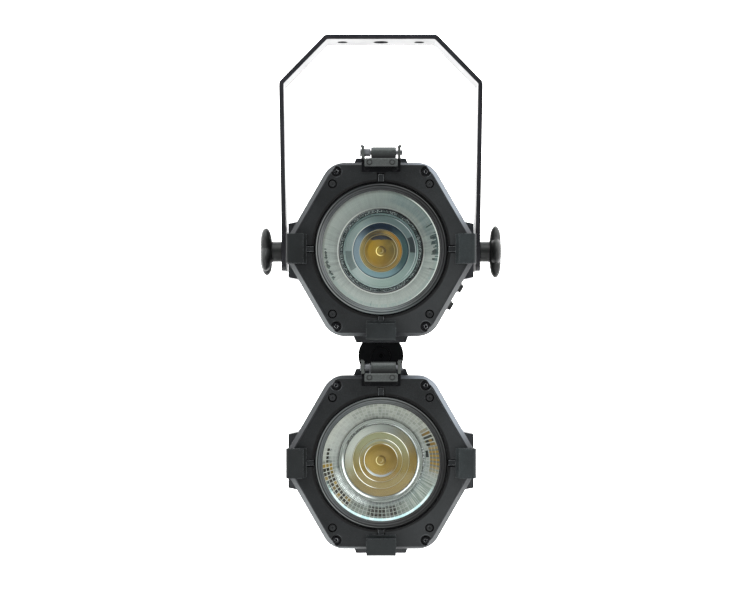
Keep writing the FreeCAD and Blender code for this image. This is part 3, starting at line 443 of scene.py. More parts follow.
MAT = {
    "plate": powder("plate_powder_coat", (26, 28, 29), rough=0.48, grain=0.9, spec=0.22),
    "shell": powder("housing_powder_coat", (34, 36, 39), rough=0.2, grain=0.45, size=2100.0,
                    spec=0.9, wear=0.3),
    "pad": powder("pad_powder_coat", (20, 22, 24), rough=0.5, grain=0.5),
    "fins": powder("fin_anodise", (34, 34, 37), rough=0.42, grain=0.25, size=3200.0, spec=0.5),
    "cover": powder("cover_powder_coat", (42, 43, 46), rough=0.42, grain=0.55, size=2000.0),
    "ring": powder("lens_ring_coat", (30, 30, 30), rough=0.27, grain=0.18, size=3000.0,
                   spec=0.75, wear=0.3),
    # near black, painted shade in the plate's screw wells, opening and back
    "recess": powder("plate_recess_painted_shade", (4, 4, 4), rough=0.7, grain=0.5, spec=0.04, wear=0.0,
                     grit=0.0),
    # clips: painted highlight on their edges, and painted light making them lighter towards the
    # right
    "clip": powder("clip_powder_coat", (24, 28, 29), rough=0.44, grain=0.5, size=2400.0,
                   spec=0.3, soft=0.0001, edge_highlight=(96, 100, 101), shade=clip_side_light),
    "latch": powder("latch_coat", (62, 65, 63), rough=0.36, grain=0.35, spec=0.4, soft=0.0001),
    "yoke": powder("yoke_powder_coat", (30, 30, 34), rough=0.3, grain=0.4, size=2300.0,
                   spec=0.5, wear=0.3, soft=0.0),
    # knobs: painted light from above, lighter on top and darker below
    "knob": plastic("knob_nylon", (37, 39, 38), grain=0.8, spec=0.35, lit_from_above=True),
    # near black: the link's own dark coat, darkened further as painted shade; also painted shade
    # on the latch bracket's web and the rivets
    "link": powder("link_coat_and_painted_shade", (7, 8, 10), rough=0.5, grain=0.3, spec=0.1, wear=0.1),
    "black": plastic("black_plastic", (24, 25, 26), rough=0.45),
    "rubber": plastic("gasket_rubber", (20, 20, 20), rough=0.75, spec=0.2),
    "screw": metal("black_oxide_screw", (40, 41, 43), rough=0.3, glint=(214, 216, 218)),
    "screw_small": powder("small_screw_paint", (28, 30, 31), rough=0.42, grain=0.3, spec=0.3,
                          wear=0.0, grit=0.0),
    "steel": metal("zinc_plated_steel", (128, 130, 133), rough=0.34, brush=(1.0, 6.0, 6.0)),
    "blued": plastic("connector_plastic", (30, 44, 70), rough=0.35),
    "button": plastic("button_plastic", (88, 90, 92), rough=0.5),
    "screen": plastic("display_window", (12, 20, 34), rough=0.12, grain=0.05, spec=0.6),
    "glass": clear_glass("front_glass_clear", (0.955, 0.975, 0.972, 1)),
    "board": plastic("driver_board_parts", (40, 80, 58), rough=0.5),
}


# =====================================================================
# finishes that follow the shape of one head
# =====================================================================
def plate_coat(prefix, centre_z):
    """Textured plate paint; the lip round the opening and the screw wells sit in shadow."""
    def shade(mat, tone):
        lens = Polar(mat, centre_z)
        # painted light: lighter towards the lower right, painted shade towards the left
        tone = tone.tint(lens.sector(-35, half=60, soft=50), (58, 60, 61), amount=0.42)
        tone = tone.tint(lens.sector(175, half=50, soft=50), (18, 20, 21), amount=0.35)
        # light on the rounded outer edge
        slope = mat.split(mat.coords("Normal"))[1].abs()
        rounded = slope.smooth(0.975, 0.86) * slope.smooth(0.15, 0.4)
        rounded = rounded * lens.radius.smooth(61.0, 62.0)
        light = lens.dial([(v, v + 2, v + 4) for v in (60, 150, 104, 66, 40, 74, 76, 84)])
        uneven = mat.noise(mat.coords(), 260.0, detail=3.0, rough=0.6)
        tone = tone.tint(rounded * uneven.smooth(0.25, 0.5, low=0.45, high=0.95), light)
        # painted shadow in the wells round the large screws, with a broken painted highlight on
        # their rim
        across = (lens.x * 1000.0).abs() - M4_X
        up = (lens.z * 1000.0).abs() - M4_Z
        well = mat.length(across, up)
        broken = mat.noise(mat.coords(), 180.0).smooth(0.42, 0.6)
        tone = tone.tint(well.band(4.75, 5.15, soft=0.15) * broken, (96, 100, 102), amount=0.55)
        tone = tone.tint(well.smooth(4.75, 4.45), (5, 5, 6), amount=0.85)
        # painted shadow on the lip round the opening
        return tone.tint(lens.radius.smooth(60.2, 59.4), (5, 5, 5), amount=0.9)
    return powder(prefix + "_plate_coat", (27, 29, 30), rough=0.48, grain=0.9, spec=0.2,
                  grit=0.5, shade=shade)


def shell_coat(prefix, centre_z):
    """Semi-gloss housing paint; its sloping sides catch a glare when seen at a slant."""
    glares = (                       # middle angle, half width, colour
        (45, 26, (122, 129, 137)), (225, 30, (104, 108, 109)),
        (315, 28, (90, 92, 93)), (135, 26, (56, 59, 62)))

    def shade(mat, tone):
        lens = Polar(mat, centre_z)
        front = mat.split(mat.coords("Normal"))[1].smooth(-0.45, -0.62)
        slant = mat.facing().smooth(0.12, 0.24) * front
        broad = 0.75 + mat.noise(mat.coords(), 60.0, detail=3.0, rough=0.6) * 0.5
        for middle, half, colour in glares:
            glare = mat.mix(1.0, colour, broad.mix(grey(0.6), grey(1.0)), "MULTIPLY")
            tone = tone.tint(lens.sector(middle, half, soft=12) * slant, glare)
        return tone
    return powder(prefix + "_housing_coat", (34, 36, 39), rough=0.3, grain=0.45, size=2100.0,
                  spec=0.5, wear=0.3, shade=shade)


RING_TONES = {      # light on the lens ring, every 45 degrees from the right
    "upper": [(40, 41, 42), (18, 19, 19), (42, 44, 45), (60, 62, 63),
              (98, 101, 101), (82, 86, 86), (100, 107, 107), (52, 55, 55)],
    "lower": [(20, 21, 21), (44, 46, 46), (88, 92, 91), (76, 80, 80),
              (72, 78, 78), (60, 64, 65), (32, 34, 34), (22, 23, 23)],
}
RING_GROOVE_SHADE = (    # painted shade in the grooves: radius, half width, darkness, grey level
    (51.2, 0.25, 0.7, 12), (52.6, 0.16, 0.5, 20), (54.6, 0.42, 0.85, 10))


def ring_coat(prefix, centre_z):
    """Satin black ring, its cone picking up the room unevenly."""
    mat = Material(prefix + "_lens_ring_coat")
    place = mat.coords()
    lens = Polar(mat, centre_z)
    ring, sector, radius = lens.ring, lens.sector, lens.radius
    tone = lens.dial(RING_TONES[prefix])
    turned = lens.streaks(per_degree=0.03, per_mm=2.6)
    tone = tone.darken(turned, amount=0.5, dark=(0.45, 0.45, 0.45))
    for middle, half, amount, level in RING_GROOVE_SHADE:
        groove = ring(middle - half, middle + half, soft=0.15)
        tone = tone.tint(groove, (level, level, level), amount)
    lit_sides = sector(200, half=60, soft=35).max(sector(60, half=40, soft=30) * 0.5)
    tone = tone.tint(ring(55.3, 55.8, soft=0.15) * lit_sides, (128, 130, 128), amount=0.8)
    # painted shadow in the gap round the ring
    tone = tone.tint(radius.smooth(56.1, 56.5), (5, 5, 5))
    tone = tone.tint(radius.smooth(57.6, 58.4), (48, 50, 51), amount=0.9)
    # painted highlight on the edges of the tabs
    tab_edge_highlight = radius.smooth(57.8, 58.4) * mat.edge(radius=0.0009, samples=4)
    tone = tone.tint(tab_edge_highlight, (142, 146, 148), amount=0.9)
    normal = mat.bump(mat.noise(place, 3000.0), distance=0.00003, strength=0.3)
    return mat.principled({
        "Base Color": tone, "Roughness": 0.26 + turned * 0.12,
        "Specular IOR Level": radius.smooth(56.4, 55.8, low=0.06, high=0.3), "Normal": normal})


ROLL_LIGHT_STOPS = [      # painted light and shade up the flap's roll: share of the 12 mm above 76 mm, colour
    (0.0, (4, 4, 4)), (0.12, (6, 6, 6)), (0.22, (18, 19, 19)), (0.42, (40, 43, 42)),
    (0.62, (58, 62, 61)), (0.80, (82, 86, 85)), (0.90, (38, 40, 39))]


def latch_coat(prefix, centre_z):
    """Satin grey flap with painted light along the top of the roll and painted shade below it,
    a painted highlight on the plate's top edge, painted shade along its bottom edge and a dark
    ring round each stud."""
    def shade(mat, tone):
        x, _, z = mat.split(mat.coords())
        height = (z - centre_z) * 1000.0
        roll = ((height - 76.0) * (1 / 12.0)).ramp(ROLL_LIGHT_STOPS)
        # plate: painted shade along its bottom edge, painted highlight along its top edge
        plate = height.smooth(70.6, 69.9).mix((66, 69, 68), (22, 23, 23))
        plate = plate.tint(height.band(76.2, 77.0, soft=0.15), (88, 92, 90), amount=0.8)
        for stud_x in STUDS_X:
            stud = mat.length(x * 1000.0 - stud_x, height - STUD_Z)
            plate = plate.tint(stud.band(1.5, 2.5, soft=0.2), (12, 13, 13), amount=0.85)
        both = height.smooth(76.9, 77.2).mix(plate, roll)
        mottle = mat.noise(mat.coords(), 900.0, detail=3.0, rough=0.6).smooth(0.35, 0.65)
        return both.times(mottle.mix(grey(0.8), grey(1.12)))
    return powder(prefix + "_latch_flap_coat", (70, 74, 72), rough=0.42, grain=0.3, spec=0.25,
                  soft=0.0001, wear=0.2, shade=shade)


# =====================================================================
# optics finishes, painted with reflections of the room and of the amber emitter: ring() is in mm,
# sector() in degrees, x and z in metres
# =====================================================================
def optic_surface(mat, colour, rough, metallic, gain, height, painted_glow, coat=0.0, spec=0.35):
    """Reflective part with a painted glow, stronger where the glow mask is high."""
    gain = OPTIC_GAIN * gain
    colour = colour.times(grey(gain))
    return mat.principled({
        "Base Color": colour, "Roughness": rough, "Metallic": metallic,
        "Specular IOR Level": spec, "Coat Weight": coat, "Coat Roughness": 0.06,
        "Emission Color": colour, "Emission Strength": OPTIC_GLOW + painted_glow * 0.9,
        "Normal": mat.bump(height, distance=0.00006, strength=0.35)})


def optic(name, centre_z):
    """A new material with its polar coordinates and their two masks."""
    mat = Material(name)
    lens = Polar(mat, centre_z)
    return mat, lens, lens.ring, lens.sector


def upper_reflector_coat():
    """Fine radial flutes crossed by turning marks, under a painted reflection of the room with
    broken dark reflections at the sides.
    """
    mat, lens, ring, sector = optic("upper_reflector_aluminium", UPPER_Z)
    radius, angle = lens.radius, lens.angle
    # painted reflection: paler below and towards the left
    tone = lens.z.smooth(-0.035, 0.045).mix((226, 230, 224), (190, 198, 193))
    tone = tone.tint(sector(170, half=60, soft=40), (222, 224, 218), amount=0.5)
    # painted reflection: cooler, streaky quarter at upper right
    quarter = sector(45, half=34, soft=14) * radius.smooth(40.5, 43.5)
    tone = tone.tint(quarter, (146, 164, 164), amount=0.55)
    flute = lens.streaks(per_degree=0.42, per_mm=0.06, detail=2.0)
    turned = lens.streaks(per_degree=0.02, per_mm=2.1, shift=3.0)
    sides = sector(5, half=42, soft=22).max(sector(195, half=34, soft=20))
    tone = tone.darken(flute, amount=0.28 + sides * 0.4, dark=(0.48, 0.5, 0.5), end=0.7)
    tone = tone.darken(turned, amount=0.40, dark=(0.55, 0.56, 0.56), end=0.65)
    tone = tone.tint(quarter * flute.smooth(0.62, 0.72), (70, 96, 98), amount=0.6)

    # radial ticks of painted dark reflection, each with its own chance, inner end and outer end
    per_tick = 1 / 1.25
    tick = (angle * per_tick).floor()
    chance, start, end = (mat.white(tick, seed) for seed in (3.0, 7.0, 11.0))
    gap = (angle * per_tick).fract().apart().smooth(0.5, 0.36)

    def ticks(share):
        limit = 1.0 - share
        return chance.smooth(limit - 0.02, limit + 0.02) * gap

    share = sector(6, half=9, soft=5) * 0.86 + sector(8, half=24, soft=8) * 0.36
    right = ticks(mat.math("MINIMUM", share, 0.97))
    right = right * ring(44.0 + start * start * 4.5, 49.2 + end, soft=0.3)
    tone = tone.tint(right, end.mix((14, 30, 34), (44, 66, 68)), amount=0.95)
    left = ticks(sector(196, half=16, soft=3) * 0.8)
    left = left * ring(46.0 + start * 1.8, 48.6 + end, soft=0.3)
    tone = tone.tint(left, (24, 38, 38), amount=0.92)

    # painted shadow at the outer rim, and a painted highlight on the lip next to the lens holder
    shadow = radius.smooth(48.4, 50.6) * sector(120, half=95, soft=40)
    tone = tone.tint(shadow, (96, 92, 84), amount=0.55)
    lip = ring(37.1, 38.5, soft=0.2) * (0.4 + sector(235, half=110, soft=30) * 0.6)
    tone = tone.tint(lip, (246, 248, 242), amount=0.85)
    # painted reflection along the lower edge, painted highlight on the rim at the right
    lower_edge = ring(47.4, 50.2, soft=0.8) * sector(285, half=75, soft=30)
    tone = tone.tint(lower_edge * (flute.smooth(0.35, 0.6) * 0.5), (150, 178, 176))
    rim = ring(49.9, 50.6, soft=0.2) * sector(0, half=62, soft=14)
    tone = tone.tint(rim, (232, 234, 228), amount=0.9)
    return optic_surface(mat, tone, rough=0.38, metallic=0.2, gain=0.50, height=flute,
                         painted_glow=(lip * 0.4 + rim * 0.5) * 2.0, spec=0.15)


REFLECTOR_COLUMNS = 85      # mirror cells round the lower reflector


def lower_reflector_coat():
    """Faceted mirror with painted reflections: every cell shows its own painted slice of the room
    and of the amber emitter.
    """
    mat, lens, ring, sector = optic("lower_reflector_facets", LOWER_Z)
    radius, angle = lens.radius, lens.angle
    # which cell, and the place across and along it
    per_degree = REFLECTOR_COLUMNS / 360.0
    first_row, per_row = 37.0, 1 / 2.75
    column = (angle * per_degree).floor()
    across = (angle * per_degree).fract()
    row = ((radius - first_row) * per_row).floor()
    along_cell = ((radius - first_row) * per_row).fract()
    cell = mat.white(column, row)
    column_random = mat.white(column, 31.0)
    grid = across.apart().smooth(0.34, 0.48).max(along_cell.apart().smooth(0.36, 0.48))
    tone = lens.z.smooth(-0.02, 0.04).mix((176, 182, 180), (196, 196, 188))
    tone = tone.tint(cell, (132, 137, 132), amount=0.6)
    tone = tone.tint(grid, (226, 228, 224), amount=0.42)
    tone = tone.tint(sector(150, half=26, soft=14), (222, 222, 217), amount=0.55)

    # lower right: painted reflection in greenish radial streaks
    streak = lens.streaks(per_degree=0.5, per_mm=0.04, detail=2.0)
    green = streak.ramp([(0.32, (96, 112, 108)), (0.52, (160, 174, 168)), (0.7, (224, 230, 226))])
    tone = tone.tint(sector(-42, half=22, soft=10), green, amount=0.85)

    # bottom: painted reflection, grey green cells with black ones
    bottom = sector(-100, half=40, soft=12) * radius.smooth(38.5, 40.0)
    grey_green = cell.mix((64, 72, 70), (150, 160, 155)).tint(grid, (190, 196, 190), amount=0.8)
    tone = tone.tint(bottom, grey_green, amount=0.85)
    black = sector(-88, half=16, soft=3) * cell.smooth(0.16, 0.2) * grid.smooth(0.7, 0.3)
    tone = tone.tint(black * ring(41.0, 49.0, soft=0.4), (16, 18, 18), amount=0.95)

    # lower left: painted reflection, amber and black cells between white lines, dark specks above
    # them
    lower_left = sector(207, half=26, soft=3) * radius.smooth(41.5, 42.5)
    pick = mat.mix(0.5, cell, (column * 0.5).fract()).smooth(0.42, 0.46)
    amber = pick.mix((30, 31, 27), column_random.mix((126, 106, 56), (172, 142, 74)))
    tone = tone.tint(lower_left, amber.tint(grid, (226, 228, 220), amount=0.95))
    specks = sector(172, half=9, soft=2) * ring(44.5, 49.5, soft=0.3)
    specks = specks * across.apart().smooth(0.42, 0.28)
    specks = specks * along_cell.apart().smooth(0.44, 0.32)
    tone = tone.tint(specks * cell.smooth(0.62, 0.66), (28, 30, 28))

    # right: painted reflection, amber columns with grey between, dark cells above them and near
    # the lens
    right = sector(4, half=14, soft=8) * radius.smooth(42.5, 43.3)
    gold = across.apart(0.45).smooth(0.20, 0.34).mix((170, 136, 70), (120, 120, 112))
    gold = gold.tint(along_cell.apart().smooth(0.38, 0.48), (214, 206, 182), amount=0.7)
    tone = tone.tint(right, gold, amount=0.95)
    above = sector(27, half=11, soft=2) * column_random.smooth(0.35, 0.4)
    above = above * ring(42.0, 49.4, soft=0.5) * across.apart().smooth(0.40, 0.26)
    dark_or_gold = cell.smooth(0.6, 0.64).mix((20, 22, 22), (150, 116, 56))
    tone = tone.tint(above, dark_or_gold, amount=0.9)
    near = sector(10, half=7, soft=1) * ring(39.5, 42.0, soft=0.3) * cell.smooth(0.5, 0.54)
    tone = tone.tint(near, (26, 34, 36), amount=0.9)

    # painted highlights: white arcs and glints close to the lens, a bright rim below
    left_arc = ring(34.6, 36.8, soft=0.5) * sector(222, half=42, soft=16)
    tone = tone.tint(left_arc, (246, 248, 246), amount=0.95)
    right_arc = ring(33.2, 34.8, soft=0.4) * sector(-28, half=34, soft=12)
    tone = tone.tint(right_arc, (248, 250, 250), amount=0.95)
    small = angle * (170.0 / 360.0)
    per_glint = 1 / 1.4
    glints = 0.45 + mat.white(small.floor(), (radius * per_glint).floor(), 5.0) * 0.55
    glints = glints * small.fract().apart().smooth(0.48, 0.3)
    glints = glints * (radius * per_glint).fract().apart().smooth(0.49, 0.36)
    left_glints = ring(36.8, 41.4, soft=0.5) * sector(222, half=28, soft=12) * glints
    tone = tone.tint(left_glints, (246, 250, 248), amount=0.85)
    flecks = lens.streaks(per_degree=0.6, per_mm=0.5, shift=6.0, detail=2.0).smooth(0.52, 0.62)
    right_glints = ring(34.0, 38.5, soft=0.5) * sector(-8, half=26, soft=8) * flecks
    tone = tone.tint(right_glints, (250, 252, 252), amount=0.9)
    flash = ring(34.6, 35.8, soft=0.3) * sector(88, half=6, soft=2)
    tone = tone.tint(flash, (250, 250, 248))
    rim = radius.smooth(48.6, 49.5) * sector(-92, half=62, soft=12)
    tone = tone.tint(rim, cell.mix((196, 232, 236), (236, 250, 252)), amount=0.92)
    arcs = (left_arc * 0.6).max(right_arc * 0.7)
    painted_glow = arcs.max((left_glints * 0.6).max(right_glints * 0.7))
    painted_glow = painted_glow.max((rim * 0.55).max(flash))
    return optic_surface(mat, tone, rough=0.22, metallic=0.3, gain=0.64, height=cell,
                         painted_glow=painted_glow * 1.6, spec=0.2)


def upper_holder_coat():
    """Holder face painted grey green as a reflection, paler below, with bright specks, black
    outside its 33 mm inner edge.
    """
    mat, lens, ring, sector = optic("upper_holder_black", UPPER_Z)
    place = mat.coords()
    face = lens.z.smooth(-0.02, 0.02).mix((134, 146, 143), (88, 102, 101))
    tone = lens.radius.smooth(33.1, 32.9).mix((8, 10, 11), face)
    patches = lens.streaks(per_degree=0.5, per_mm=0.8, rough=0.5).smooth(0.35, 0.55)
    tone = tone.tint(ring(33.7, 35.5, soft=0.25) * patches, (104, 116, 115), amount=0.28)
    specks = mat.noise(place, 1500.0, rough=0.7).smooth(0.57, 0.62)
    specks = specks * ring(33.5, 35.9, soft=0.2) * mat.noise(place, 110.0).smooth(0.36, 0.48)
    tone = tone.tint(specks, (206, 212, 210), amount=0.62)
    # painted highlight line round the left side
    line = ring(36.1, 36.5, soft=0.1) * sector(200, half=105, soft=25)
    tone = tone.tint(line, (206, 212, 212), amount=0.35)
    return optic_surface(mat, tone, rough=0.3, metallic=0.0, gain=1.1,
                         height=mat.noise(place, 1500.0), painted_glow=specks * 0.1, spec=0.1)


def lower_holder_coat():
    """Bright turned metal with a dark inner line and painted highlight arcs."""
    mat, lens, ring, sector = optic("lower_holder_bright", LOWER_Z)
    tone = lens.z.smooth(-0.02, 0.03).mix((146, 150, 144), (160, 163, 157))
    turned = lens.streaks(per_degree=0.012, per_mm=2.4, shift=3.0)
    tone = tone.darken(turned, amount=0.55, dark=(0.45, 0.45, 0.45))
    line = ring(31.4, 32.5, soft=0.25) * (0.35 + sector(120, half=60, soft=22) * 0.65)
    tone = tone.tint(line, (48, 48, 46))
    broken = mat.noise(mat.vector(lens.angle * 0.35, 0.0, 0.0), 1.0, detail=1.0)
    dashes = sector(132, half=22, soft=3) * broken.smooth(0.42, 0.5)
    tone = tone.tint(ring(32.4, 33.8, soft=0.25) * dashes, (58, 58, 54), amount=0.85)
    left_arc = ring(32.9, 34.3, soft=0.35) * sector(216, half=40, soft=12)
    tone = tone.tint(left_arc, (248, 250, 248), amount=0.95)
    right_arc = ring(32.6, 33.7, soft=0.3) * sector(-30, half=34, soft=10)
    tone = tone.tint(right_arc, (248, 250, 250), amount=0.95)
    top_arc = ring(32.6, 33.4, soft=0.2) * sector(45, half=24, soft=8)
    tone = tone.tint(top_arc, (236, 238, 238), amount=0.7)
    return optic_surface(mat, tone, rough=0.25, metallic=0.3, gain=0.8, height=turned,
                         painted_glow=left_arc.max(right_arc) * 0.9)


def upper_lens_coat():
    """Stepped lens painted with reflections of the room and the amber emitter showing through its
    middle, with painted highlights and shade at its steps and dome.
    """
    mat, lens, ring, sector = optic("upper_stepped_lens", UPPER_Z)
    radius, x, z = lens.radius, lens.x, lens.z
    fine = lens.streaks(per_degree=0.02, per_mm=1.6)
    blotch = mat.noise(mat.coords(), 220.0, detail=3.0, rough=0.6)

    # outer step: painted reflection, grey green with a dark patch at each side
    tone = lens.dial([(118, 132, 130), (112, 126, 126), (112, 126, 125), (152, 166, 163),
                      (150, 162, 160), (184, 194, 191), (160, 176, 169), (150, 167, 162)])
    tone = tone.darken(fine, amount=0.35, dark=(0.62, 0.64, 0.64))
    right = sector(11.0, half=14.0, soft=0.8) * ring(25.4, 31.0, soft=0.2)
    tone = tone.tint(right, blotch.mix((34, 38, 42), (64, 70, 74)), amount=0.9)
    left = sector(197, half=17, soft=0.8) * ring(25.8, 31.2, soft=0.2)
    tone = tone.tint(left, blotch.mix((70, 80, 82), (118, 128, 126)), amount=0.72)
    # painted highlight arc at the right, painted shadow along the top
    arc = ring(30.2, 30.8, soft=0.15) * sector(8, half=55, soft=12)
    tone = tone.tint(arc, (226, 232, 232), amount=0.8)
    shadow = ring(30.9, 31.9, soft=0.25) * sector(80, half=60, soft=25)
    tone = tone.tint(shadow, (60, 68, 68), amount=0.6)

    # middle step: painted reflection in blue
    blue = x.smooth(-0.022, 0.022).mix((138, 154, 164), (70, 92, 92))
    blue = blue.tint(sector(92, half=44, soft=26), (30, 42, 56))
    blue = blue.tint(sector(262, half=48, soft=22), (134, 162, 168), amount=0.75)
    outline = ring(23.4, 24.4, soft=0.3) * (1.0 - sector(180, half=50, soft=20))
    blue = blue.tint(outline, (26, 46, 62), amount=0.65)
    blue = blue.darken(fine, amount=0.3, dark=(0.6, 0.62, 0.64))
    tone = tone.tint(radius.smooth(24.75, 24.55), blue)
    tone = tone.tint(ring(23.9, 24.5, soft=0.15), (22, 34, 44), amount=0.55)
    lit = 0.3 + sector(190, half=70, soft=25) * 0.6
    tone = tone.tint(ring(24.6, 25.1, soft=0.15) * lit, (244, 240, 232))

    # inner step: painted amber of the emitter on the right and below, a painted dark reflection
    # at upper left
    amber = x.smooth(-0.018, 0.016).mix((160, 142, 92), (166, 138, 82))
    orange = sector(20, half=40, soft=20) * (ring(16.8, 18.4, soft=0.3) * 0.8)
    amber = amber.tint(orange, (186, 128, 46))
    amber = amber.tint(sector(290, half=50, soft=20), (140, 114, 62), amount=0.5)
    amber = amber.tint(sector(112, half=30, soft=20), (58, 56, 52), amount=0.85)
    amber = amber.tint(ring(16.2, 16.9, soft=0.25), (110, 84, 44), amount=0.5)
    tone = tone.tint(radius.smooth(18.8, 18.6), amber)
    lit = 0.25 + sector(170, half=75, soft=25) * 0.6
    tone = tone.tint(ring(18.3, 18.9, soft=0.15) * lit, (222, 208, 172))

    # centre disc: painted amber of the emitter, lighter at the left, with painted shade round its
    # upper left edge and a dark wavy crescent of painted reflection at its top
    disc = x.smooth(-0.012, 0.013).mix((190, 146, 48), (118, 100, 54))
    edge_shade = ring(11.5, 14.4, soft=0.8) * sector(160, half=50, soft=30)
    disc = disc.tint(edge_shade, (96, 76, 34), amount=0.5)
    disc = disc.tint(z.smooth(0.002, -0.013), (150, 110, 40), amount=0.5)
    disc = disc.tint(blotch.smooth(0.4, 0.7), (190, 154, 76), amount=0.2)
    wavy = z + (mat.noise(mat.coords(), 300.0) - 0.5) * 0.0022
    crescent = wavy.smooth(0.0092, 0.0104) * radius.smooth(14.2, 13.9)
    slate = radius.smooth(11.5, 13.5).mix((64, 74, 78), (24, 34, 46))
    disc = disc.tint(crescent, slate, amount=0.92).times((0.8, 0.85, 1.1, 1))
    tone = tone.tint(radius.smooth(14.5, 14.3), disc)
    tone = tone.tint(ring(14.9, 15.5, soft=0.15), (48, 42, 30), amount=0.6)
    tone = tone.tint(ring(17.9, 18.3, soft=0.12), (70, 54, 26), amount=0.5)
    lit = 0.25 + sector(-10, half=60, soft=30) * 0.5
    tone = tone.tint(ring(14.2, 14.8, soft=0.15) * lit, (236, 226, 196))
    glint = ring(11.8, 12.3, soft=0.2) * sector(-8, half=42, soft=16)
    tone = tone.tint(glint, (206, 190, 140), amount=0.55)

    # small dome in the middle: painted highlight at its lower left, painted shade at its upper
    # right
    bright = ring(3.7, 4.5, soft=0.2) * sector(205, half=80, soft=30)
    tone = tone.tint(bright, (255, 234, 150), amount=0.95)
    dark = ring(3.0, 4.4, soft=0.35) * sector(45, half=65, soft=30)
    tone = tone.tint(dark, (74, 54, 20), amount=0.85)
    dome = x.smooth(-0.003, 0.002).mix((176, 152, 68), (104, 82, 42))
    tone = tone.tint(radius.smooth(3.0, 2.2), dome, amount=0.85)
    glint = ring(1.4, 2.2, soft=0.2) * sector(-30, half=80, soft=30)
    tone = tone.tint(glint, (206, 186, 130), amount=0.6)
    return optic_surface(mat, tone, rough=0.3, metallic=0.0, gain=0.68, height=fine,
                         painted_glow=bright * 0.6, coat=0.2, spec=0.2)


LOWER_STEPS = (     # step radius, then middle and half width of its two painted highlight arcs
    (24.9, 46, 34, 222, 34), (19.0, 46, 30, 214, 40), (14.8, 44, 34, 186, 60))


def lower_lens_coat():
    """Stepped lens filled with painted amber of the emitter, with painted reflections, highlights
    and shade.
    """
    mat, lens, ring, sector = optic("lower_stepped_lens", LOWER_Z)
    radius, x, z = lens.radius, lens.x, lens.z
    fine = lens.streaks(per_degree=0.02, per_mm=1.8)
    blotch = mat.noise(mat.coords(), 160.0, detail=3.0, rough=0.6)
    # outer step, with a painted silver reflection at its upper left
    tone = lens.dial([(146, 122, 70), (140, 134, 112), (150, 154, 146), (176, 172, 140),
                      (160, 150, 104), (138, 122, 76), (142, 122, 72), (156, 134, 80)])
    tone = tone.tint(z.smooth(-0.012, -0.028), (156, 126, 66), amount=0.35)
    silver = x.smooth(-0.02, 0.012).mix((206, 208, 202), (146, 148, 146))
    silver_mask = sector(126, half=62, soft=30) * radius.smooth(23.0, 25.5)
    tone = tone.tint(silver_mask, silver, amount=0.95)
    # middle and inner steps
    middle = z.smooth(-0.010, 0.018).mix((150, 130, 78), (160, 158, 126))
    tone = tone.tint(radius.smooth(24.75, 24.55), middle)
    inner = z.smooth(-0.012, 0.016).mix((150, 124, 66), (158, 148, 108))
    top = sector(100, half=50, soft=26) * radius.smooth(16.0, 17.6)
    inner = inner.tint(top, (160, 162, 146))
    tone = tone.tint(radius.smooth(18.95, 18.75), inner)
    # centre disc: painted shade at its upper right, painted light at its lower left
    disc = x.smooth(-0.014, 0.014).mix((160, 132, 68), (142, 116, 62))
    disc = disc.tint(blotch.smooth(0.4, 0.7), (172, 142, 80), amount=0.22)
    dark = ring(8.5, 13.4, soft=1.6) * sector(66, half=66, soft=40)
    disc = disc.tint(dark, (112, 88, 40), amount=0.5)
    light = ring(6.0, 12.5, soft=2.0) * sector(215, half=60, soft=40)
    disc = disc.tint(light, (196, 164, 92), amount=0.4)
    tone = tone.tint(radius.smooth(14.75, 14.5), disc)
    tone = tone.darken(fine, amount=0.30, dark=(0.62, 0.58, 0.42), light=(1, 1, 0.94))

    # fine dark line, pale band and painted highlight arcs at every step
    lit = 0.0
    for step, middle_1, half_1, middle_2, half_2 in LOWER_STEPS:
        line = ring(step + 0.15, step + 0.55, soft=0.12)
        tone = tone.tint(line, (104, 92, 64), amount=0.75)
        pale = ring(step - 0.45, step + 0.1, soft=0.14)
        tone = tone.tint(pale, (208, 198, 164), amount=0.55)
        arcs = pale * sector(middle_1, half_1, soft=10).max(sector(middle_2, half_2, soft=12))
        tone = tone.tint(arcs, (252, 250, 242), amount=0.95)
        lit = lit + arcs * 0.45
    # painted silver reflection in a crescent at the bottom of the centre disc
    crescent = ring(13.0, 14.6, soft=0.35) * sector(-98, half=48, soft=16)
    silver = x.smooth(-0.010, 0.008).mix((214, 222, 228), (150, 160, 172))
    tone = tone.tint(crescent, silver, amount=0.92)

    # small dome in the middle: painted highlight at its lower left, painted shade at its upper
    # right
    bright = ring(3.7, 4.5, soft=0.2) * sector(215, half=80, soft=30)
    tone = tone.tint(bright, (246, 230, 170), amount=0.9)
    dark = ring(3.0, 4.4, soft=0.35) * sector(40, half=65, soft=30)
    tone = tone.tint(dark, (98, 74, 32), amount=0.8)
    glint = ring(1.3, 2.1, soft=0.2) * sector(-30, half=80, soft=30)
    tone = tone.tint(glint, (214, 196, 140), amount=0.5)
    return optic_surface(mat, tone, rough=0.3, metallic=0.0, gain=0.76, height=fine,
                         painted_glow=lit + bright * 0.2, coat=0.2, spec=0.2)


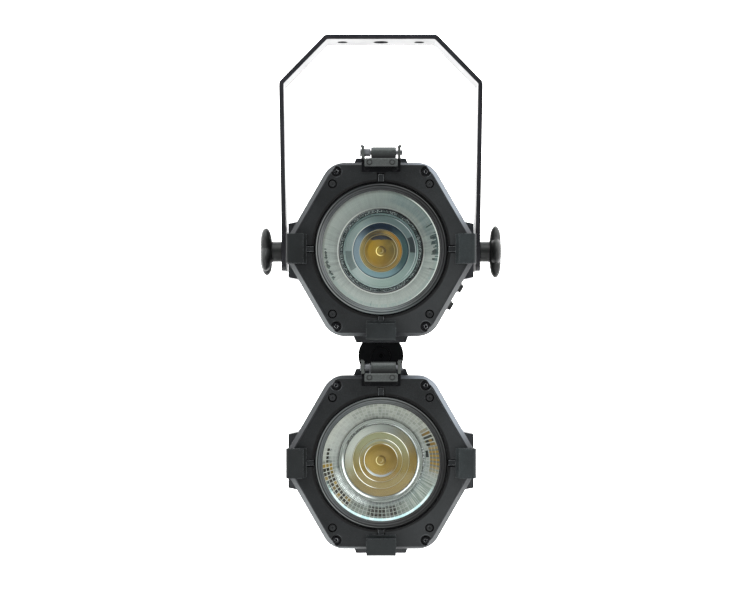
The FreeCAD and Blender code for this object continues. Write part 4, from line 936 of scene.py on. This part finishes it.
# =====================================================================
# mesh helpers
# =====================================================================
def replace_node(bm, node, name, materials, angle=32.0, body=None, weighted=True):
    """Turn bm into the object that stands in for a CAD node; edges over angle stay sharp."""
    big = [face for face in bm.faces if len(face.verts) > 4]
    if big:
        bmesh.ops.triangulate(bm, faces=big, quad_method="BEAUTY", ngon_method="BEAUTY")
    bmesh.ops.recalc_face_normals(bm, faces=bm.faces)
    limit = math.radians(angle)
    for face in bm.faces:
        face.smooth = True
    for edge in bm.edges:
        edge.smooth = not (len(edge.link_faces) == 2 and edge.calc_face_angle(0.0) > limit)
    mesh = bpy.data.meshes.new(name)
    bm.to_mesh(mesh)
    bm.free()
    ob = bpy.data.objects.new(name, mesh)
    scene.collection.objects.link(ob)
    for material in (materials if isinstance(materials, list) else [materials]):
        mesh.materials.append(material)
    if weighted:
        modifier = ob.modifiers.new("weighted", "WEIGHTED_NORMAL")
        modifier.keep_sharp = True
        modifier.weight = 70
    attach(ob, body or BODY[node])
    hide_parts(node)


def area(bm):
    return sum(face.calc_area() for face in bm.faces)


def volume(bm):
    return abs(bm.calc_volume(signed=True))


def cad_bmesh(node, raw=False):
    """A CAD node's surface, welded; its flat faces are merged unless raw."""
    bm = bmesh.new()
    bm.from_mesh(NODES[node].data)
    bmesh.ops.remove_doubles(bm, verts=bm.verts, dist=2e-6)
    bmesh.ops.dissolve_degenerate(bm, edges=bm.edges, dist=1e-6)
    bmesh.ops.recalc_face_normals(bm, faces=bm.faces)
    if raw:
        return bm
    area_before, whole = area(bm), bm.copy()
    bmesh.ops.dissolve_limit(bm, angle_limit=math.radians(0.6), use_dissolve_boundaries=False,
                             verts=bm.verts, edges=bm.edges, delimit={"NORMAL"})
    merged = bm.copy()
    bmesh.ops.triangulate(merged, faces=merged.faces)
    area_ratio, volume_ratio = area(merged) / area_before, volume(merged) / volume(whole)
    merged.free()
    # merging must not change the shape; where it does, keep the triangles
    if abs(area_ratio - 1) > 0.002 or abs(volume_ratio - 1) > 0.002:
        bm.free()
        return whole
    whole.free()
    return bm


def sharp_edges(bm, angle):
    """Edges sharper than angle (radians) and long enough to bevel."""
    return [edge for edge in bm.edges if len(edge.link_faces) == 2
            and edge.calc_face_angle(0.0) > angle and edge.calc_length() > 0.15 * MM]


def bevel(bm, edges, width, segments, **more):
    bmesh.ops.bevel(bm, geom=edges, offset=width * MM, offset_type="OFFSET", segments=segments,
                    profile=0.5, affect="EDGES", clamp_overlap=True, **more)


def weld(bm):
    bmesh.ops.remove_doubles(bm, verts=bm.verts, dist=1e-6)


def growth(bm, node):
    """Area of bm against its CAD node's; well over 1 where a face has folded."""
    now, cad = bm.copy(), bmesh.new()
    cad.from_mesh(NODES[node].data)
    bmesh.ops.triangulate(now, faces=[face for face in now.faces if len(face.verts) > 4],
                          quad_method="BEAUTY", ngon_method="BEAUTY")
    bmesh.ops.triangulate(now, faces=now.faces)
    bmesh.ops.remove_doubles(cad, verts=cad.verts, dist=2e-6)
    ratio = area(now) / area(cad)
    now.free()
    cad.free()
    return ratio


def refine(node, materials, width, segments=2, angle=38.0, paint=None, bends=(), move=None,
           raw=False):
    """The CAD shape with its sharp edges broken, as a real casting or bent sheet has.

    width is the bevel in mm; bends are (edge test, width, segments) bevelled first;
    move(co) shifts vertices; paint(centre, normal) gives a face's material index.
    """
    bm = cad_bmesh(node, raw=raw)
    if move:
        for vert in bm.verts:
            vert.co = move(vert.co)
    for wanted, bend_width, bend_segments in bends:
        edges = [edge for edge in bm.edges if len(edge.link_faces) == 2
                 and edge.calc_face_angle(0.0) > 0.3 and wanted(edge)]
        if edges:
            bevel(bm, edges, bend_width, bend_segments)
            weld(bm)
    bevel(bm, sharp_edges(bm, math.radians(angle)), width, segments, miter_outer="ARC")
    weld(bm)
    if not raw and growth(bm, node) > 1.03:
        # a large flat face with holes came out folded: work from the unmerged triangles
        bm.free()
        refine(node, materials, width, segments, angle, paint, bends, move, raw=True)
        return
    if paint:
        for face in bm.faces:
            face.material_index = paint(face.calc_center_median(), face.normal)
    replace_node(bm, node, node + "_finish", materials)


def skin(bm, rings, closed=False):
    """Faces between neighbouring rings; closed joins the last ring to the first."""
    for first, second in zip(rings, rings[1:] + rings[:1] if closed else rings[1:]):
        for i in range(len(first)):
            j = (i + 1) % len(first)
            corners = dict.fromkeys((first[i], first[j], second[j], second[i]))
            bm.faces.new(list(corners))


def capped_skin(bm, rings):
    skin(bm, rings)
    bm.faces.new(rings[0][::-1])
    bm.faces.new(rings[-1])


def circle(count):
    angles = [2 * math.pi * i / count for i in range(count)]
    return [(math.cos(angle), math.sin(angle)) for angle in angles]


def turned_rings(bm, profile, x, z, segments, swell=None):
    """Rings of (radius, depth) points round an axis along Y through x, z, all mm.

    swell(angle, index) is added to a radius.  A point on the axis is one shared vertex.
    """
    rings = []
    for index, (radius, depth) in enumerate(profile):
        y = (FRONT + depth) * MM
        if radius == 0:
            rings.append([bm.verts.new((x * MM, y, z * MM))] * segments)
            continue
        ring = []
        for i, (cos, sin) in enumerate(circle(segments)):
            reach = radius + (swell(2 * math.pi * i / segments, index) if swell else 0.0)
            ring.append(bm.verts.new(((x + reach * cos) * MM, y, (z + reach * sin) * MM)))
        rings.append(ring)
    return rings


def lathe(profile, centre_z, segments, closed=True, swell=None):
    """Turn a profile about the lens axis of a head."""
    bm = bmesh.new()
    skin(bm, turned_rings(bm, profile, 0.0, centre_z / MM, segments, swell), closed)
    return bm


# =====================================================================
# studio: pale floor curving up into a backdrop, soft light from the sides and above
# =====================================================================
def floor_and_backdrop():
    floor_z, wall_y, curve, steps = -0.66, 2.2, 0.9, 16
    profile = [(-4.0, floor_z), (wall_y - curve, floor_z)]
    for i in range(1, steps + 1):
        angle = math.pi / 2 * i / steps
        profile.append((wall_y - curve + curve * math.sin(angle),
                        floor_z + curve * (1 - math.cos(angle))))
    profile.append((wall_y, 4.0))
    bm = bmesh.new()
    left = [bm.verts.new((-5.0, y, z)) for y, z in profile]
    right = [bm.verts.new((5.0, y, z)) for y, z in profile]
    for i in range(len(profile) - 1):
        bm.faces.new((left[i], right[i], right[i + 1], left[i + 1])).smooth = True
    mesh = bpy.data.meshes.new("floor_and_backdrop")
    bm.to_mesh(mesh)
    bm.free()
    ob = bpy.data.objects.new("floor_and_backdrop", mesh)
    scene.collection.objects.link(ob)

    # grey near the lamp, white and glowing towards the back
    mat = Material("pale_floor")
    place = mat.coords()
    y = mat.split(place)[1]
    near = mat.noise(place, 1.3).smooth(0.3, 0.7).mix(grey(0.74), grey(0.78))
    tone = near.tint(y.smooth(0.1, 1.2), grey(0.93))
    mesh.materials.append(mat.principled({
        "Base Color": tone, "Roughness": 0.9, "Specular IOR Level": 0.1,
        "Emission Color": grey(1.0),
        "Emission Strength": y.smooth(0.25, 1.3, low=0.05, high=1.5)}))


def studio_world():
    """Bright at the sides and top, dim behind the camera; even where the camera sees it."""
    base, left_gain, right_gain, top_gain, front_dim = 0.46, 1.05, 1.45, 1.25, 0.38
    seen_strength = 1.2
    world = bpy.data.worlds.new("studio")
    scene.world = world
    world.use_nodes = True
    graph = Graph(world.node_tree)
    output = graph.node("ShaderNodeOutputWorld")
    background = graph.node("ShaderNodeBackground")
    x, y, z = graph.split(graph.coords("Generated"))
    left = x.smooth(-0.45, -0.92)
    right = x.smooth(0.45, 0.92)
    top = z.smooth(0.35, 0.9)
    front = y.smooth(-0.72, -0.97)
    light = base + (left * left_gain + right * right_gain) + top * top_gain - front * front_dim
    seen = graph.node("ShaderNodeMix", data_type="FLOAT")
    graph.put(seen.inputs[0], graph.add("ShaderNodeLightPath", output="Is Camera Ray"))
    graph.put(seen.inputs[2], light)
    graph.put(seen.inputs[3], seen_strength)
    graph.put(background.inputs["Strength"], Value(graph, seen.outputs[0]))
    background.inputs["Color"].default_value = (0.985, 0.995, 1.0, 1)
    graph.put(output.inputs[0], Value(graph, background.outputs[0]))


def softbox(name, location, size, watts, colour=(1, 1, 1)):
    """Rectangular light aimed at the middle of the lamp."""
    light = bpy.data.lights.new(name, "AREA")
    light.shape = "RECTANGLE"
    light.size, light.size_y = size
    light.energy = watts
    light.color = colour
    ob = bpy.data.objects.new(name, light)
    scene.collection.objects.link(ob)
    aim = Vector((0, 0, -0.24)) - Vector(location)
    ob.rotation_euler = aim.to_track_quat("-Z", "Y").to_euler()
    ob.location = location


def camera():
    data = bpy.data.cameras.new("camera")
    data.sensor_fit = "HORIZONTAL"
    data.sensor_width = 36.0
    data.lens = 87.07
    data.shift_x = 0.0
    data.shift_y = 0.0605
    data.clip_start, data.clip_end = 0.05, 30.0
    ob = bpy.data.objects.new("camera", data)
    ob.location = (-0.0052, FRONT_Y - 1.56, -0.273)
    ob.rotation_euler = (math.pi / 2, 0, 0)
    scene.collection.objects.link(ob)
    scene.camera = ob


floor_and_backdrop()
studio_world()
softbox("softbox_left", (-1.15, -1.0, 0.25), size=(0.7, 1.1), watts=6.0)
softbox("softbox_right", (1.25, -0.75, 0.30), size=(0.7, 1.1), watts=7.5,
        colour=(0.97, 0.99, 1.0))
softbox("softbox_top", (0.0, -0.75, 1.25), size=(1.2, 0.7), watts=7.0)
camera()
scene.view_settings.view_transform = "Standard"
scene.view_settings.look = "None"
scene.view_settings.exposure = 0.0
scene.view_settings.gamma = 1.0


# =====================================================================
# every CAD node gets a finish; those below are refined or rebuilt
# =====================================================================
SLOT_FINISH = {
    "dark_powder_coat": "plate", "shell_paint": "shell", "anodised_fins": "fins",
    "ring_black": "ring", "clear_glass": "glass", "black_rubber": "rubber",
    "bright_reflector": "steel", "optic_lens": "steel", "black_plastic": "black",
    "led_phosphor": "steel", "driver_board": "board", "clip_paint": "clip",
    "latch_paint": "latch", "steel_zinc": "steel", "black_screw": "screw",
    "yoke_paint": "yoke", "knob_plastic": "knob", "link_paint": "link",
    "display_glass": "screen", "connector_plastic": "blued", "button_plastic": "button",
}
for name, ob in NODES.items():
    ob.data.materials.clear()
    ob.data.materials.append(MAT[SLOT_FINISH[SLOT[name]]])


def midpoint(edge):
    return (edge.verts[0].co + edge.verts[1].co) / 2


def along(edge, axis, least):
    """True for an edge parallel to an axis and longer than least mm."""
    span = edge.verts[1].co - edge.verts[0].co
    return abs(span[axis]) > least * MM and abs(span[axis]) > 0.999 * span.length


def plate_rim(centre_z):
    """Test for edges of the plate's front face that lie on its outer outline."""
    def wanted(edge):
        middle = midpoint(edge)
        x, z = middle.x, middle.z - centre_z
        return (all(abs(vert.co.y - FRONT_Y) < 1e-5 for vert in edge.verts)
                and math.hypot(x, z) > 66.5 * MM
                and any(abs(face.normal.y) < 0.1 and face.normal.x * x + face.normal.z * z > 0.03
                        for face in edge.link_faces))
    return wanted


def clip_bend(centre_z):
    """Test for the long outer corners at the front of the clips."""
    def wanted(edge):
        middle = midpoint(edge)
        outward = max(abs(middle.x), (centre_z - middle.z) + 1.4 * MM)
        return ((along(edge, 2, 20) or along(edge, 0, 20))
                and middle.y < FRONT_Y - 9.9 * MM and outward > 80.9 * MM)
    return wanted


def yoke_bend(edge):
    """True for the yoke's corners low on its arms and across its top."""
    middle = midpoint(edge)
    arm = abs(middle.x) > 80 * MM and -60 * MM < middle.z < -30 * MM
    top = abs(middle.x) < 60 * MM and middle.z > -6 * MM
    return along(edge, 1, 30) and (arm or top)


def plate_paint(centre_z):
    """Material index for plate faces: 1, near black as painted shade, in the screw wells, the
    opening and at the back.
    """
    def index(centre, normal):
        x, z = abs(centre.x) / MM, abs(centre.z - centre_z) / MM
        depth = (centre.y - FRONT_Y) / MM
        m4_well = math.hypot(x - M4_X, z - M4_Z) < 4.02 and depth > 0.3
        m3_well = math.hypot(x - M3_X, z - M3_Z) < 3.82 and depth > 0.3
        opening = math.hypot(x, z) < 65.9 and abs(normal.y) < 0.3 and depth > 0.4
        return int(depth > 4.98 or m4_well or m3_well or opening)
    return index


def bracket_paint(centre_z):
    """Material index for the latch bracket: 1, the near black painted shade, on its web, below
    and between the ears.
    """
    def index(centre, normal):
        return int(centre.z < centre_z + 76.9 * MM and abs(centre.x) < 16.9 * MM
                   and centre.y > FRONT_Y - 1.7 * MM)
    return index


def thicken_ear(co):
    """Move the inner faces of the bracket's two ears inwards."""
    cad_x, thick_x = 15.3, 14.4
    x = abs(co.x) / MM
    if abs(x - cad_x) < 0.02:
        x = thick_x
    return Vector((math.copysign(x * MM, co.x), co.y, co.z))


def refine_head(prefix, centre_z):
    def part(name, materials, width, **more):
        refine(prefix + "_" + name, materials, width, **more)

    part("front_frame", [plate_coat(prefix, centre_z), MAT["recess"]], 0.40,
         bends=((plate_rim(centre_z), 1.1, 3),), paint=plate_paint(centre_z))
    part("lens_ring", ring_coat(prefix, centre_z), 0.30, segments=3)
    part("gel_clips", MAT["clip"], 0.35, bends=((clip_bend(centre_z), 1.3, 4),))
    part("housing", shell_coat(prefix, centre_z), 0.45)
    part("rear_cover", MAT["cover"], 0.40)
    # the bracket's web and the rivets take the near black link coat as painted shade
    part("latch_bracket", [MAT["latch"], MAT["link"]], 0.25,
         paint=bracket_paint(centre_z), move=thicken_ear)
    part("latch_pin", MAT["steel"], 0.30)
    part("rivets", MAT["link"], 0.20)


for prefix, centre_z in HEADS:
    refine_head(prefix, centre_z)
refine("yoke", MAT["yoke"], 0.1, angle=25, bends=((yoke_bend, 7.5, 8),))
SMALL_PARTS = (     # node, finish, bevel width
    ("link_upper_lug", "link", 0.4), ("link_lower_lug", "link", 0.4),
    ("link_nut", "steel", 0.25), ("link_bolt", "link", 0.3),
    ("stud_left", "steel", 0.3), ("stud_right", "steel", 0.3),
    ("data_connectors", "black", 0.25), ("power_connectors", "blued", 0.25),
    ("cable_glands", "black", 0.3), ("display", "screen", 0.3),
    ("menu_button_1", "button", 0.3), ("menu_button_2", "button", 0.3),
    ("menu_button_3", "button", 0.3), ("menu_button_4", "button", 0.3))
for node, finish, width in SMALL_PARTS:
    refine(node, MAT[finish], width)


# =====================================================================
# hand knobs: four soft lobes, a fully rounded rim and a stem
# =====================================================================
KNOB_SEGMENTS = 144
KNOB_REACH = 22.95                      # mm, axis to lobe tip
LOBE_CENTRE, LOBE_RADIUS = 13.0, 10.0   # mm
KNOB_CORE, LOBE_BLEND = 15.0, 1.75      # mm, round core and how softly the lobes join it
STEM_X, BORE_END_X, BORE_RADIUS = 87.4, 105.2, 4.3
GRIP_X, GRIP_HALF, GRIP_STEPS = 101.5, 4.85, 24

# share of the lobed outline, plain radius, x
STEM = [(0, 8.2, STEM_X), (0, 8.95, 88.1), (0, 9.0, 92.0), (0, 9.0, 95.4), (0, 9.4, 96.3),
        (0.05, 9.6, 96.7)]
CAP = [(0, 6.9, 106.38), (0, 6.6, 106.0), (0, 6.2, 105.95), (0, 5.9, 106.35),
       (0, 5.4, 106.44)]
CAP_TIP_X = 106.46


def knob_outline(turn):
    """Radius at every step round the knob, its lobes turned by some degrees."""
    def reach(angle):
        best = 0.0
        for k in range(4):
            away = angle - math.radians(turn + 90 * k)
            offset = LOBE_CENTRE * math.sin(away)
            if math.cos(away) > 0 and abs(offset) < LOBE_RADIUS:
                far = math.sqrt(LOBE_RADIUS ** 2 - offset * offset)
                best = max(best, LOBE_CENTRE * math.cos(away) + far)
        if not best:
            return KNOB_CORE
        both = math.exp(best / LOBE_BLEND) + math.exp(KNOB_CORE / LOBE_BLEND)
        return math.log(both) * LOBE_BLEND

    count = KNOB_SEGMENTS
    outline = [min(KNOB_REACH, reach(2 * math.pi * i / count)) for i in range(count)]
    for _ in range(3):
        outline = [(outline[i - 1] + 2 * outline[i] + outline[(i + 1) % count]) / 4
                   for i in range(count)]
    peak = max(outline)
    return [min(KNOB_REACH, radius * KNOB_REACH / peak) for radius in outline]


def knob(node, side, turn):
    """side is 1 at the right (+X), -1 at the left."""
    centre_y = FRONT_Y + 50 * MM
    outline = knob_outline(turn)
    bm = bmesh.new()

    def ring_at(x, radii):
        return [bm.verts.new((side * x * MM, centre_y + radius * MM * cos,
                              UPPER_Z + radius * MM * sin))
                for radius, (cos, sin) in zip(radii, circle(KNOB_SEGMENTS))]

    grip = []
    for i in range(1, GRIP_STEPS):
        angle = math.pi * i / GRIP_STEPS
        grip.append((0.30 + 0.70 * math.sin(angle) ** 0.72, 0.0,
                     GRIP_X - GRIP_HALF * math.cos(angle)))
    rings = [ring_at(x, [min(share * lobed + plain, lobed) for lobed in outline])
             for share, plain, x in STEM + grip + CAP]
    rings.append([bm.verts.new((side * CAP_TIP_X * MM, centre_y, UPPER_Z))] * KNOB_SEGMENTS)
    skin(bm, rings)
    # the stem's bore for the stud
    bore = ring_at(STEM_X, [BORE_RADIUS] * KNOB_SEGMENTS)
    deep = ring_at(BORE_END_X, [BORE_RADIUS] * KNOB_SEGMENTS)
    skin(bm, [rings[0], bore, deep])
    bm.faces.new(deep)
    replace_node(bm, node, node + "_grip", MAT["knob"], angle=40)


knob("knob_right", side=1, turn=0)
knob("knob_left", side=-1, turn=35)


# =====================================================================
# latch flap: sheet rolled round its pin, with two pressed studs
# =====================================================================
PIN_DEPTH, PIN_Z = -5.0, 82.3           # barrel axis, mm from plate face and lens axis
CURL_RADIUS = 4.66
BARREL = [                              # x, radius
    (-8.6, 2.1), (-8.6, 3.9), (-8.45, 4.45), (-8.0, 4.68), (-7.9, 4.55), (-7.3, 4.55),
    (-7.2, 4.68), (2.15, 4.7), (12.3, 4.68), (12.75, 4.45), (12.9, 3.9), (12.9, 2.1)]
CURL_OUTER = [                          # depth, height above the lens axis
    (-8.0, 77.55), (-8.7, 77.0), (-8.7, 75.9), (-10.15, 75.9), (-10.15, 76.9),
    (-10.0, 78.2), (-9.75, 79.6)]
FLAP_HALF, FLAP_BOTTOM, FLAP_TOP, FLAP_CORNER = 14.2, 69.8, 77.1, 1.4
FLAP_LEVELS = (                         # depth, change of corner radius, back to front
    (-8.7, -0.25), (-8.9, 0), (-9.9, 0), (-10.1, -0.18), (-10.2, -0.5), (-10.2, -0.95),
    (-10.02, -1.2))
STUD = [                                # radius, depth
    (0, -10.69), (1.0, -10.66), (1.45, -10.5), (1.62, -10.2), (1.75, -10.12), (1.98, -10.2),
    (2.1, -10.0), (2.1, -9.6), (0, -9.6)]


def latch_flap(prefix, centre_z):
    head_z = centre_z / MM
    pin_y, pin_z = FRONT + PIN_DEPTH, head_z + PIN_Z
    bm = bmesh.new()
    barrel = [[bm.verts.new((x * MM, pin_y * MM + radius * MM * cos,
                             pin_z * MM + radius * MM * sin)) for cos, sin in circle(72)]
              for x, radius in BARREL]
    skin(bm, barrel, closed=True)

    # the curl that runs out of the barrel into the plate
    section = []
    for i in range(9):
        angle = math.radians(196 + 5 * i)
        section.append((pin_y + CURL_RADIUS * math.cos(angle),
                        pin_z + CURL_RADIUS * math.sin(angle)))
    section += [(FRONT + depth, head_z + height) for depth, height in CURL_OUTER]
    capped_skin(bm, [[bm.verts.new((x * MM, y * MM, z * MM)) for y, z in section]
                     for x in (-8.4, 12.7)])

    # plate with rounded corners and a pressed border
    right, top = FLAP_HALF - FLAP_CORNER, head_z + FLAP_TOP - FLAP_CORNER
    bottom = head_z + FLAP_BOTTOM + FLAP_CORNER
    outline = []
    for x, z, start in ((right, top, 0), (-right, top, 90), (-right, bottom, 180),
                        (right, bottom, 270)):
        for k in range(7):
            angle = math.radians(start + 15 * k)
            outline.append((x, z, math.cos(angle), math.sin(angle)))
    levels = [(FRONT + depth, FLAP_CORNER + change) for depth, change in FLAP_LEVELS]
    capped_skin(bm, [[bm.verts.new(((x + radius * cos) * MM, y * MM, (z + radius * sin) * MM))
                      for x, z, cos, sin in outline] for y, radius in levels])

    for x in STUDS_X:
        skin(bm, turned_rings(bm, STUD, x, head_z + STUD_Z, 28))
    node = prefix + "_latch_flap"
    replace_node(bm, node, node + "_rolled", latch_coat(prefix, centre_z), angle=34)


# =====================================================================
# screws
# =====================================================================
def islands(bm):
    """The vertices of bm, as one list for each connected piece."""
    left = set(bm.verts)
    while left:
        seed = left.pop()
        stack, island = [seed], [seed]
        while stack:
            vert = stack.pop()
            for edge in vert.link_edges:
                other = edge.other_vert(vert)
                if other in left:
                    left.remove(other)
                    stack.append(other)
                    island.append(other)
        yield island


def recess_reach(angle, socket, cross):
    """Outline of the driven recess: a four-armed cross or a hexagon."""
    if cross:
        away = abs(((angle + math.pi / 4) % (math.pi / 2)) - math.pi / 4)
        return socket * (0.42 + 0.58 * max(0.0, 1 - away / 0.42))
    away = ((angle + math.pi / 6) % (math.pi / 3)) - math.pi / 6
    return socket * 0.92 / math.cos(away)


def screw_heads(node, centre_z, x, z, radius, top, seat, socket, cross=False):
    """Turned heads with a domed top and a recess, at (+-x, +-z) from the lens axis.

    top and seat are the depths of a head's two ends.  CAD screws that reach no further
    forward than the seat are kept.
    """
    segments = 36
    height = seat - top
    profile = [                         # radius, depth
        (0, seat + 6.0), (1.45, seat + 6.0), (1.45, seat), (radius * 0.97, seat),
        (radius, seat - 0.15), (radius, top + height * 0.42),
        (radius * 0.96, top + height * 0.24), (radius * 0.86, top + height * 0.10),
        (radius * 0.70, top + 0.03), (socket * 1.22, top)]
    recess = ((1.0, top + 0.18), (0.97, top + height * 0.62))       # scale, depth

    bm = cad_bmesh(node)
    front_limit = FRONT_Y + (seat - 0.05) * MM
    front = [vert for island in islands(bm) if min(v.co.y for v in island) < front_limit
             for vert in island]
    bmesh.ops.delete(bm, geom=front, context="VERTS")
    if bm.edges:
        bevel(bm, sharp_edges(bm, 0.7), 0.15, 2)

    places = [(sx, sz) for sx in (-x, x) for sz in (-z, z)]
    for k, (screw_x, offset_z) in enumerate(places):
        screw_z = centre_z / MM + offset_z
        turn = 0.5 + 1.3 * k            # radians, each recess stands its own way
        rings = turned_rings(bm, profile, screw_x, screw_z, segments)
        shift = int(round(turn / (2 * math.pi) * segments)) % segments
        for scale, depth in recess:
            ring = []
            for i in range(segments):
                angle = 2 * math.pi * i / segments
                reach = recess_reach(angle, socket, cross) * scale
                ring.append(bm.verts.new(((screw_x + reach * math.cos(angle + turn)) * MM,
                                          (FRONT + depth) * MM,
                                          (screw_z + reach * math.sin(angle + turn)) * MM)))
            # start the ring beside the start of the head's rings
            rings.append([ring[(i - shift) % segments] for i in range(segments)])
        rings += turned_rings(bm, [(0, top + height * 0.74)], screw_x, screw_z, segments)
        skin(bm, rings)
    replace_node(bm, node, node + "_turned", MAT["screw_small" if cross else "screw"], angle=30)


for prefix, centre_z in HEADS:
    latch_flap(prefix, centre_z)
    screw_heads(prefix + "_m4_screws", centre_z, M4_X, M4_Z,
                radius=3.45, top=0.5, seat=3.0, socket=1.45)
    screw_heads(prefix + "_m3_screws", centre_z, M3_X, M3_Z,
                radius=2.85, top=0.45, seat=2.2, socket=1.35, cross=True)


# =====================================================================
# optics; all profiles are (radius, depth)
# =====================================================================
LENS_PROFILE = [
    # centre dome and disc
    (0, 33.15), (1.2, 33.22), (2.4, 33.42), (3.4, 33.72), (4.15, 34.15), (4.4, 34.7),
    (4.75, 34.75), (8.0, 34.35), (11.5, 34.3), (13.6, 34.6), (14.7, 35.25), (14.9, 35.3),
    # two crowned rings
    (15.0, 34.25), (15.6, 34.0), (17.2, 33.95), (18.5, 34.35), (18.85, 34.75),
    (18.95, 33.55), (19.5, 33.3), (21.8, 33.2), (24.1, 33.55), (24.65, 33.95),
    # outer ring and back
    (24.75, 33.15), (25.3, 33.02), (28.2, 33.02), (31.3, 33.25), (31.7, 33.5),
    (31.7, 37.9), (14.0, 38.0), (0, 38.0)]
REFLECTOR_WALL = 0.9
UPPER_REFLECTOR = [
    (50.7, 9.6), (49.6, 11.7), (48.4, 14), (47.0, 17), (45.5, 20), (43.8, 23.5), (41.9, 27),
    (39.7, 31), (37.35, 35)]
LOWER_REFLECTOR = [
    (50.7, 9.6), (50.0, 10.9), (48.4, 14), (46.2, 18.6), (43.9, 23.2), (41.5, 27.6),
    (38.9, 32.0), (37.35, 35)]


def stepped_lens(prefix, centre_z, material):
    bm = lathe(LENS_PROFILE, centre_z, 192, closed=False)
    replace_node(bm, prefix + "_inner_lens", prefix + "_stepped_lens", material, angle=35,
                 body=prefix + "_head")


def upper_reflector():
    """Bowl with 120 fine flutes on its inner side."""
    last = len(UPPER_REFLECTOR) - 1
    outside = [(radius + REFLECTOR_WALL, depth) for radius, depth in UPPER_REFLECTOR[:-1]]
    profile = UPPER_REFLECTOR + [(38.2, 35.0)] + outside[::-1]

    def flute(angle, index):
        return 0.05 * math.cos(angle * 120) if 0 < index < last else 0.0

    bm = lathe(profile, UPPER_Z, 240, swell=flute)
    replace_node(bm, "upper_reflector", "upper_fluted_reflector", upper_reflector_coat(),
                 angle=50, body="upper_head")


def lower_reflector():
    """Bowl of mirror cells, each a raised facet turned a little its own way."""
    cell_gap, cell_lift, cell_tilt = 0.16, 0.14, 0.16       # mm
    random = np.random.default_rng(7)
    count = REFLECTOR_COLUMNS
    bm = bmesh.new()

    def ring_at(radius, depth):
        return [bm.verts.new((radius * MM * cos, FRONT_Y + depth * MM,
                              LOWER_Z + radius * MM * sin)) for cos, sin in circle(count)]

    inside = [ring_at(radius, depth) for radius, depth in LOWER_REFLECTOR]
    skin(bm, inside)
    faces = list(bm.faces)
    outside = [ring_at(LOWER_REFLECTOR[i][0] + REFLECTOR_WALL, LOWER_REFLECTOR[i][1])
               for i in (0, 3, 5, -1)]
    for first, second in zip(outside, outside[1:]):
        for i in range(count):
            j = (i + 1) % count
            bm.faces.new((first[j], first[i], second[i], second[j]))
    for i in range(count):
        j = (i + 1) % count
        bm.faces.new((inside[0][j], inside[0][i], outside[0][i], outside[0][j]))
        bm.faces.new((inside[-1][i], inside[-1][j], outside[-1][j], outside[-1][i]))

    cells = [face for face in faces if face.calc_area() > 2e-6]
    bmesh.ops.inset_individual(bm, faces=cells, thickness=cell_gap * MM, depth=0.0)
    for face in cells:
        face.normal_update()
        tilt = (random.random() - 0.5) * cell_tilt * MM
        normal = face.normal.copy()
        for k, vert in enumerate(face.verts):
            vert.co += normal * (cell_lift * MM + (tilt if k < 2 else -tilt))
    replace_node(bm, "lower_reflector", "lower_faceted_reflector", lower_reflector_coat(),
                 angle=1.5, body="lower_head", weighted=False)


def lens_holder(prefix, centre_z, material):
    """Turned ring, dished, with two fine grooves and a skirt."""
    node = prefix + "_lens_holder"
    low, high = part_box(node)
    front, back = (low.y - FRONT_Y) / MM, (high.y - FRONT_Y) / MM
    face = [                            # radius, depth behind the holder's front
        (31.85, 2.6), (31.95, 1.5), (32.5, 1.15), (33.4, 1.0), (33.6, 1.3), (33.9, 1.3),
        (34.1, 0.85), (35.2, 0.55), (35.4, 0.8), (35.7, 0.8), (35.9, 0.4), (36.4, 0.1),
        (36.75, 0.25), (36.9, 0.8)]
    profile = [(radius, front + depth) for radius, depth in face]
    profile += [(36.9, back), (34.4, back), (34.4, front + 7.6), (31.85, front + 7.4)]
    bm = lathe(profile, centre_z, 180)
    replace_node(bm, node, node + "_ring", material, angle=30, body=prefix + "_head")


stepped_lens("upper", UPPER_Z, upper_lens_coat())
stepped_lens("lower", LOWER_Z, lower_lens_coat())
upper_reflector()
lower_reflector()
lens_holder("upper", UPPER_Z, upper_holder_coat())
lens_holder("lower", LOWER_Z, lower_holder_coat())
